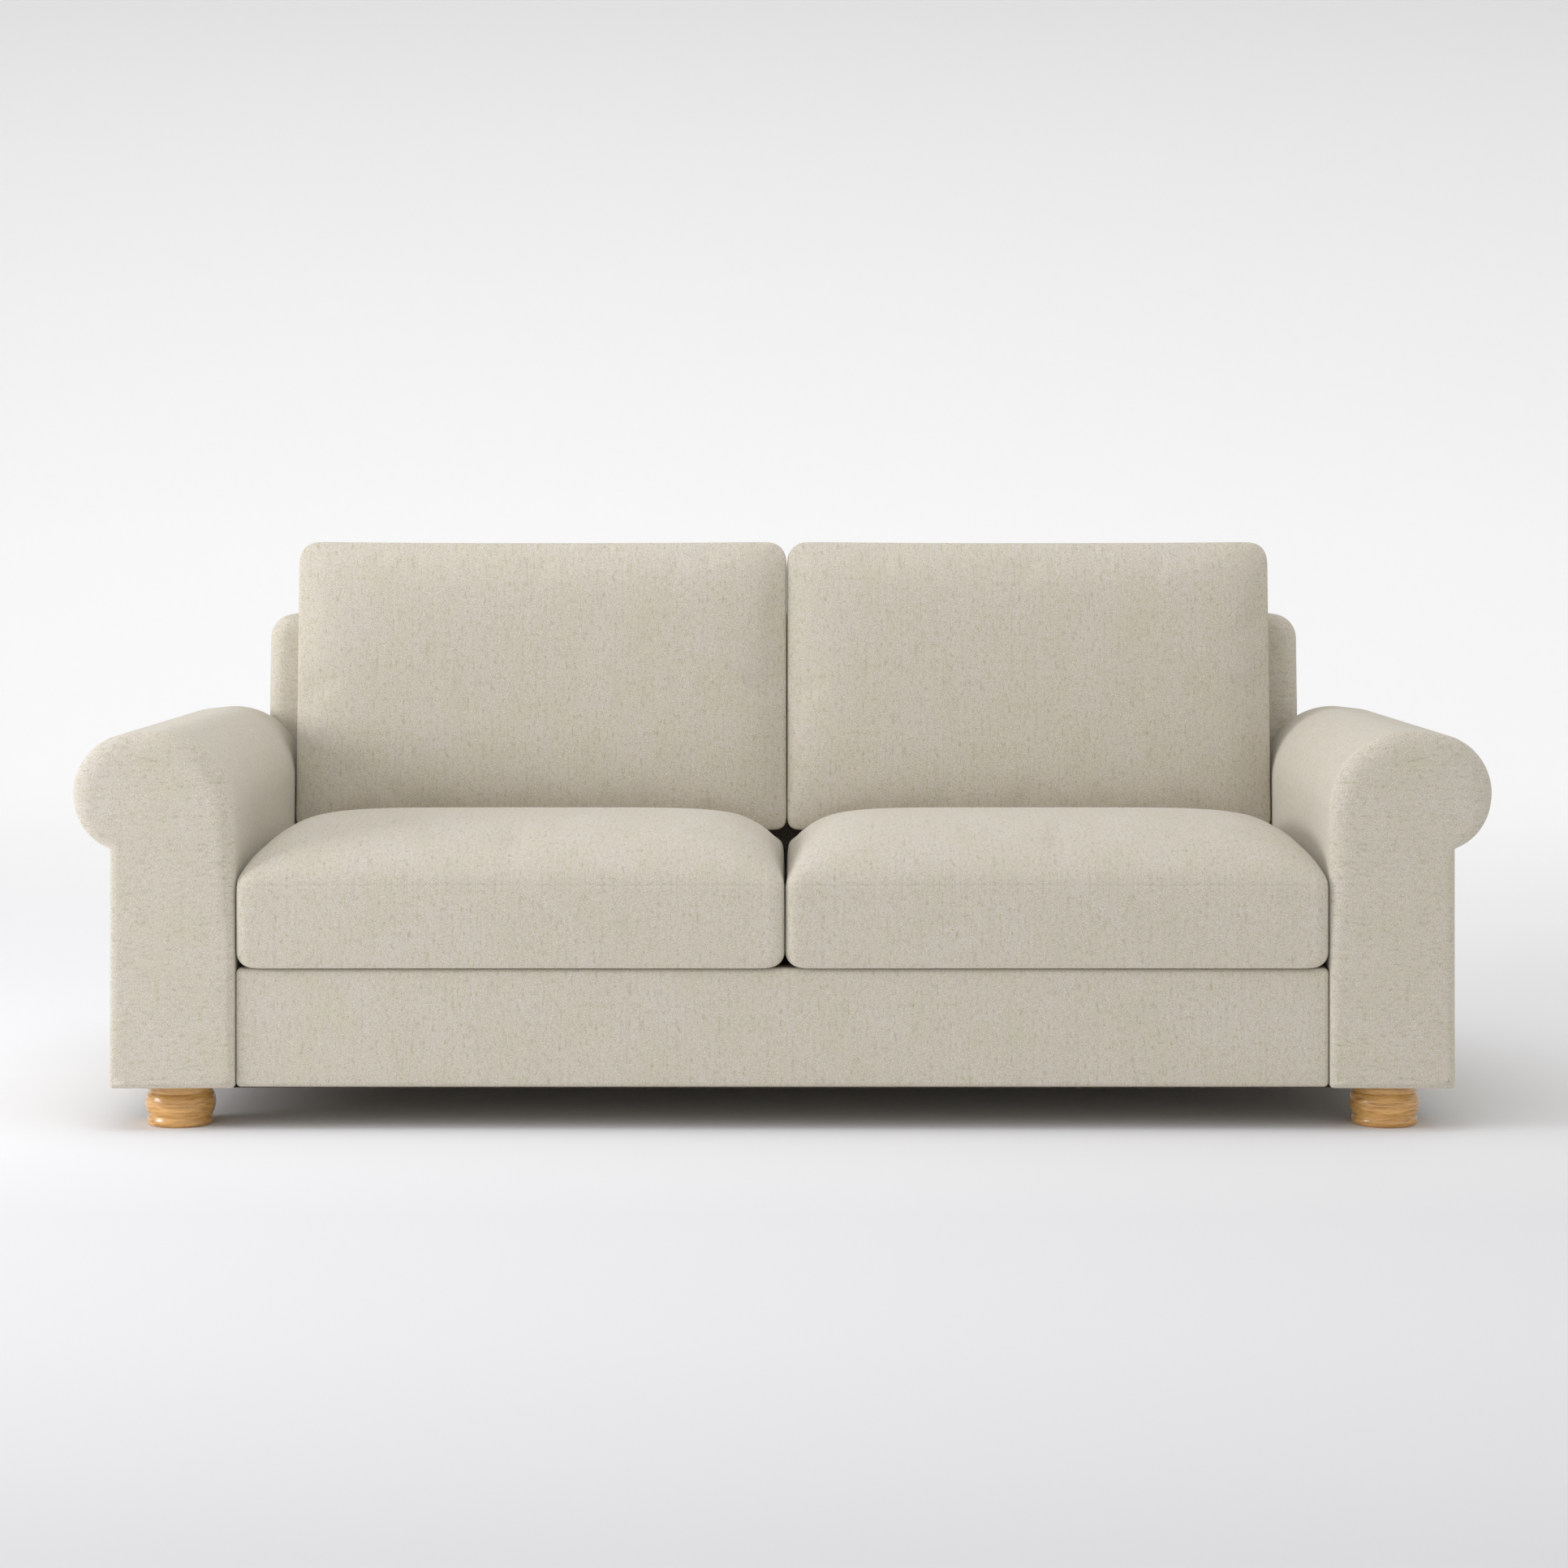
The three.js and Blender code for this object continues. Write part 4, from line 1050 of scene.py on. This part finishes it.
def repeat_along(name, guide, spacing, size, lean, finish):
    """Sets small blocks at even spacing along a guide line with a node tree, leaning to either side in turn,
    and gives back the line's object with the plain mesh of the blocks"""
    tree = bpy.data.node_groups.new(name, "GeometryNodeTree")
    wanted = (("Guide", "Geometry", None), ("Spacing", "Float", spacing), ("Block size", "Vector", size),
              ("Lean", "Vector", lean), ("Finish", "Material", finish))
    sockets = [tree.interface.new_socket(label, in_out="INPUT", socket_type=f"NodeSocket{kind}")
               for label, kind, _ in wanted]
    tree.interface.new_socket("Blocks", in_out="OUTPUT", socket_type="NodeSocketGeometry")
    given = tree.nodes.new("NodeGroupInput").outputs

    curve = add_node(tree, "GeometryNodeMeshToCurve", {"Mesh": given["Guide"]})
    points = add_node(tree, "GeometryNodeCurveToPoints", {
        "Curve": curve.outputs["Curve"], "Length": given["Spacing"]}, mode="LENGTH")
    index = tree.nodes.new("GeometryNodeInputIndex")
    turn = add_node(tree, "ShaderNodeMath", {0: index.outputs["Index"], 1: 1.0}, operation="PINGPONG")
    side = add_node(tree, "ShaderNodeMapRange", {"Value": turn.outputs["Value"], "To Min": -1.0})
    shift = add_node(tree, "ShaderNodeVectorMath", {
        0: given["Lean"], "Scale": side.outputs["Result"]}, operation="SCALE")
    moved = add_node(tree, "GeometryNodeSetPosition", {
        "Geometry": points.outputs["Points"], "Offset": shift.outputs["Vector"]})
    block = add_node(tree, "GeometryNodeMeshCube", {"Size": given["Block size"]})
    placed = add_node(tree, "GeometryNodeInstanceOnPoints", {
        "Points": moved.outputs["Geometry"], "Rotation": points.outputs["Rotation"],
        "Instance": block.outputs["Mesh"]})
    real = add_node(tree, "GeometryNodeRealizeInstances", {"Geometry": placed.outputs["Instances"]})
    painted = add_node(tree, "GeometryNodeSetMaterial", {
        "Geometry": real.outputs["Geometry"], "Material": given["Finish"]})
    add_node(tree, "NodeGroupOutput", {"Blocks": painted.outputs["Geometry"]})

    repeat = guide.modifiers.new(name, "NODES")
    repeat.node_group = tree
    for socket, (_, _, value) in zip(sockets[1:], wanted[1:]):
        repeat[socket.identifier] = value
    keep_modified(guide, repeat)
    face_outwards(guide)
    return guide


def make_zip(name, cover, depth, way, height):
    """A zip let into one wall of a cushion: its two tapes, its teeth and its slider with a pull"""
    work = bmesh.new()
    work.from_mesh(cover.data)
    tree = BVHTree.FromBMesh(work)
    work.free()
    xs = np.linspace(-ZIP_LENGTH / 2, ZIP_LENGTH / 2, ZIP_ROWS)
    tapes = []
    for label, start, end in TAPES:
        zs = height + np.linspace(start, end, TAPE_ROWS)
        surface = np.array([[wall_at(tree, x, z, depth, way) for z in zs] for x in xs])
        tapes.append(ribbon(f"{name}_{label}_tape", xs, zs, surface, way))
    middle = np.array([wall_at(tree, x, height, depth, way) for x in xs])
    tooth_line = np.stack([xs, middle + way * TOOTH_SIZE[1] / 2, np.full(len(xs), height)], 1)
    line = guide_line(f"{name}_teeth", tooth_line)
    teeth = repeat_along(f"{name}_teeth", line, TOOTH_PITCH, TOOTH_SIZE, TOOTH_LEAN, STEEL)
    at = -ZIP_LENGTH / 2 + SLIDER_PLACE
    front = middle[2] + way * SLIDER_LIFT
    half_x, half_y, half_z = SLIDER_HALF
    body = rounded_box(f"{name}_slider", (at - half_x, front - half_y, height - half_z),
                       (at + half_x, front + half_y, height + half_z), SLIDER_ROUND, METAL_SPACING)
    hung = front + way * PULL_LIFT
    pull = rounded_box(f"{name}_pull", (at - PULL_WIDTH, hung - PULL_HALF_THICKNESS, height - PULL_DROP),
                       (at, hung + PULL_HALF_THICKNESS, height + PULL_RISE), PULL_HALF_THICKNESS,
                       METAL_SPACING)
    return [*tapes, teeth, body, pull]


# Turned feet

def make_foot(name, node):
    """A turned bun foot on a small base ring, lathed in fine steps"""
    low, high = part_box(node)
    radius, height = (high.x - low.x) / 2, high.z - low.z
    centre = (low + high) / 2
    points = []
    for share, rise in FOOT_PROFILE:
        for i in range(FOOT_SEGMENTS):
            angle = 2 * math.pi * i / FOOT_SEGMENTS
            points.append((centre.x + radius * share * math.cos(angle),
                           centre.y + radius * share * math.sin(angle), low.z + height * rise))
    obj = add_mesh(name, points, ring_faces(len(FOOT_PROFILE), FOOT_SEGMENTS))
    face_outwards(obj)
    return obj


# Underside and inside

def make_dust_cover():
    """Undyed cambric stapled under the frame, cut round the narrower front of the back, sagging a little.
    Gives the cloth, its staples, its flat size and its area."""
    low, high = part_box("dust_cover")
    shoulder_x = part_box("back_cover")[1].x - (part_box("right_arm_cover")[1].x - ROLL_OVERHANG - high.x)
    shoulder_y = back_face(np.array([low.z]))[0] - SHOULDER_GAP
    xs = np.unique(np.round([*np.linspace(low.x, -shoulder_x, 7), *np.linspace(-shoulder_x, shoulder_x, 73),
                             *np.linspace(shoulder_x, high.x, 7)], 6))
    ys = np.unique(np.round([*np.linspace(low.y, shoulder_y, 37), *np.linspace(shoulder_y, high.y, 11)], 6))
    index, points, faces = {}, [], []

    def corner(i, j):
        if (i, j) not in index:
            index[i, j] = len(points)
            bay = abs(math.sin(math.pi * min(1, abs(xs[i]) / BAY_WIDTH)))
            inward = math.sin(math.pi * (ys[j] - low.y) / (high.y - low.y))
            points.append((xs[i], ys[j], high.z - HAIR - DUST_COVER_SAG * bay * inward))
        return index[i, j]

    for i in range(len(xs) - 1):
        for j in range(len(ys) - 1):
            outside = max(abs(xs[i]), abs(xs[i + 1])) > shoulder_x + 1e-6
            if not (outside and ys[j + 1] > shoulder_y + 1e-6):
                faces.append((corner(i, j), corner(i, j + 1), corner(i + 1, j + 1), corner(i + 1, j)))
    cloth = add_mesh("cambric_dust_cover", points, faces)
    wings = (high.x - shoulder_x) * (high.y - shoulder_y) * 2
    area = (high.x - low.x) * (high.y - low.y) - wings
    side_x, rear_x = high.x - STAPLE_RIM, shoulder_x - STAPLE_RIM
    front_y, step_y, rear_y = low.y + STAPLE_RIM, shoulder_y - STAPLE_RIM, high.y - STAPLE_RIM
    right = [(side_x, front_y), (side_x, step_y), (rear_x, step_y), (rear_x, rear_y)]
    loop = [*right, *((-x, y) for x, y in reversed(right))]
    line = guide_line("dust_cover_staples", [(x, y, low.z + HAIR) for x, y in [loop[-1], *loop]])
    staples = repeat_along("dust_cover_staples", line, STAPLE_SPACING, STAPLE_SIZE, (0, 0, 0), STEEL)
    return cloth, staples, (high.x - low.x, high.y - low.y), area


def make_webbing():
    """Jute bands across the back frame: uprights in front of two long bands"""
    low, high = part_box("back_webbing")
    half = (high.y - low.y - BAND_GAP) / 2
    pitch = (high.x - low.x - BAND_WIDTH) / (BAND_COUNT - 1)
    bands = []
    for i in range(BAND_COUNT):
        x = low.x + pitch * i
        bands.append(((x, low.y, low.z), (x + BAND_WIDTH, low.y + half, high.z)))
    for share in LONG_BAND_SHARES:
        z = low.z + share * (high.z - low.z)
        bands.append(((low.x, high.y - half, z), (high.x, high.y, z + BAND_WIDTH)))
    mesh = bpy.data.meshes.new("back_webbing_bands")
    with reworked(mesh) as work:
        for start, end in bands:
            size = Vector(end) - Vector(start)
            for vert in bmesh.ops.create_cube(work, size=1.0)["verts"]:
                vert.co = Vector(start) + Vector(((vert.co[k] + 0.5) * size[k] for k in range(3)))
    return put_in_scene("back_webbing_bands", mesh)


def filling_of(node, name):
    """A foam part with its CAD node's form, its loose corners merged"""
    mesh = frame["nodes"][node].data.copy()
    mesh.name = name
    obj = put_in_scene(name, mesh)
    with reworked(mesh) as work:
        bmesh.ops.remove_doubles(work, verts=work.verts, dist=0.01 * MM)
        bmesh.ops.dissolve_limit(work, angle_limit=math.radians(2), verts=work.verts, edges=work.edges)
        bmesh.ops.triangulate(work, faces=[face for face in work.faces if len(face.verts) > 4])
        bmesh.ops.recalc_face_normals(work, faces=work.faces)
    mesh.polygons.foreach_set("use_smooth", [False] * len(mesh.polygons))
    return obj


# Making the sofa

def dress_frame():
    """The hidden timber, springs and bolts keep their shape and get their finish"""
    for entry in frame["record"]["subparts"]:
        for place in frame["nodes"][entry["node"]].material_slots:
            place.material = FINISHES[entry["material_slot"]]


def finish_cushion(name, parts, slot, node, fill):
    """A loose cushion's cover, filling and zip, all riding on the cushion's own body"""
    cover, inside, upper, lower, *metal = parts
    finish_piece(cover, WOOL, name, "linen", f"{name}_cover", fill=fill)
    finish_piece(inside, FINISHES[slot], name, slot, f"{name}_{node}", fill=1.0)
    for tape in (upper, lower):
        finish_piece(tape, ZIP_TAPE, name, "zip_tape", f"{name}_zip")
    for part in metal:
        finish_piece(part, STEEL, name, "steel")


def dress_side(name, side):
    """One arm with its foam, its two cushions and its two feet"""
    arm = make_arm(f"{name}_arm_upholstery", side)
    finish_piece(arm, WOOL, "sofa_frame", "linen", f"{name}_arm_cover", fill=0.9)
    seat, back = f"{name}_seat_cushion", f"{name}_back_cushion"
    finish_cushion(seat, make_seat_cushion(seat, side), "foam", "core", 0.9)
    finish_cushion(back, make_back_cushion(back, side), "wadding", "fill", 0.8)
    for end in ("front", "rear"):
        foot = make_foot(f"{end}_{name}_turned_foot", f"{end}_{name}_foot")
        finish_piece(foot, OAK, "sofa_frame", "oak_foot", f"{end}_{name}_foot")
    foam = filling_of(f"{name}_arm_foam", f"{name}_arm_padding")
    finish_piece(foam, FOAM, "sofa_frame", "foam", f"{name}_arm_foam", fill=1.0)


def dress_middle():
    """The back with its foam and webbing, the base front, the platform and the dust cover"""
    finish_piece(make_back(), WOOL, "sofa_frame", "linen", "back_cover", fill=0.9)
    finish_piece(filling_of("back_foam", "back_padding"), FOAM, "sofa_frame", "foam", "back_foam", fill=1.0)
    border = rounded_box("base_front_wool", *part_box("front_border"), BORDER_ROUND, BORDER_SPACING)
    lay_cloth(border.data, by_facing)
    finish_piece(border, WOOL, "sofa_frame", "linen", "front_border", fill=0.9)
    deck = rounded_box("seat_platform", *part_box("seat_deck"), DECK_ROUND, DECK_SPACING)
    finish_piece(deck, DECK_CLOTH, "sofa_frame", "deck_cloth", "seat_deck", fill=0.9)
    cloth, staples, flat, area = make_dust_cover()
    finish_piece(cloth, CAMBRIC, "sofa_frame", "cambric", "dust_cover")
    finish_piece(staples, STEEL, "sofa_frame", "steel")
    finish_piece(make_webbing(), WEBBING, "sofa_frame", "deck_cloth", "back_webbing")


# Studio

def backdrop_paper(first, last):
    """White paper that lights the room evenly. The camera sees it with painted light and shade, in tones like
    the photograph's, which run from first to last along it, with a faint painted glow at the wall"""
    material, tree, paper = new_material("studio_white")
    feed(tree, paper, {"Base Color": (0.9, 0.9, 0.9, 1), "Roughness": 0.95, "Specular IOR Level": 0.1})
    along = add_node(tree, "ShaderNodeSeparateXYZ", {"Vector": cloth_place(tree)}).outputs["X"]

    def tones(stops):
        return ramp(tree, along, [((reach - first) / (last - first), tone) for reach, tone in stops])

    # Painted light and shade: the camera sees the paper darker and lighter along it, on top of the real
    # shadows it takes, plus a painted glow from an emission
    seen = add_node(tree, "ShaderNodeBsdfDiffuse", {"Color": tones(BACKDROP_PAINTED_SHADING)})
    glow = add_node(tree, "ShaderNodeEmission", {"Color": tones(BACKDROP_PAINTED_GLOW)})
    both = add_node(tree, "ShaderNodeAddShader", {0: seen.outputs["BSDF"], 1: glow.outputs["Emission"]})
    path = tree.nodes.new("ShaderNodeLightPath")
    mix = add_node(tree, "ShaderNodeMixShader", {
        "Fac": path.outputs["Is Camera Ray"], 1: paper.outputs["BSDF"], 2: both.outputs["Shader"]})
    feed(tree, tree.nodes["Material Output"], {"Surface": mix.outputs["Shader"]})
    return material


def make_backdrop():
    """A pale floor that curves up into a wall"""
    bend = WALL_PLACE - WALL_SWEEP
    profile = [(FLOOR_FRONT, 0.0, FLOOR_FRONT)]
    for angle in np.linspace(0, math.pi / 2, 25):
        y, z = bend + WALL_SWEEP * math.sin(angle), WALL_SWEEP - WALL_SWEEP * math.cos(angle)
        profile.append((y, z, bend + WALL_SWEEP * angle))
    profile.append((WALL_PLACE, WALL_TOP, profile[-1][2] + WALL_TOP - WALL_SWEEP))
    points = [(side * HALF_FLOOR, y, z) for y, z, reach in profile for side in (-1, 1)]
    faces = [(2 * i, 2 * i + 1, 2 * i + 3, 2 * i + 2) for i in range(len(profile) - 1)]
    floor = add_mesh("studio_floor", points, faces)
    first, last = BACKDROP_PAINTED_SHADING[0][0], BACKDROP_PAINTED_SHADING[-1][0]
    reach = np.array([(row[2] - first) / (last - first) for row in profile])

    def cloth_at(corner, place, middle, normal):
        return np.stack([reach[corner // 2], place[:, 0]], 1)

    lay_cloth(floor.data, cloth_at)
    floor.data.materials.append(backdrop_paper(first, last))


def make_light():
    """A soft light at the left, one overhead, and even light all round"""
    world = bpy.data.worlds.new("studio_air")
    bpy.context.scene.world = world
    world.use_nodes = True
    tree = world.node_tree
    feed(tree, tree.nodes["Background"], {"Color": (1, 1, 1, 1), "Strength": AIR_STRENGTH})
    for name, place, aim, size, power in LAMPS:
        lamp = bpy.data.lights.new(name, "AREA")
        lamp.shape = "SQUARE"
        lamp.size = size
        lamp.energy = power
        lamp.color = LAMP_COLOUR
        holder = put_in_scene(name, lamp)
        holder.location = place
        holder.rotation_euler = (Vector(aim) - Vector(place)).to_track_quat("-Z", "Y").to_euler()


def make_camera():
    """Looks level along +Y from eye height, shifted down to frame the sofa as photographed"""
    camera = bpy.data.cameras.new("camera")
    camera.sensor_width = SENSOR_WIDTH
    camera.lens = FOCAL_PIXELS / IMAGE_SIZE * SENSOR_WIDTH
    camera.shift_x = (IMAGE_SIZE / 2 - AXIS_X) / IMAGE_SIZE
    camera.shift_y = (AXIS_Y - IMAGE_SIZE / 2) / IMAGE_SIZE
    holder = put_in_scene("camera", camera)
    holder.location = (CAMERA_X, CAD_BOX[0].y - CAMERA_DISTANCE, EYE_HEIGHT)
    holder.rotation_euler = (math.pi / 2, 0, 0)
    bpy.context.scene.camera = holder
    bpy.context.scene.view_settings.view_transform = "Standard"


make_camera()
dress_frame()
for side_name, side_sign in SIDES:
    dress_side(side_name, side_sign)
dress_middle()
make_backdrop()
make_light()
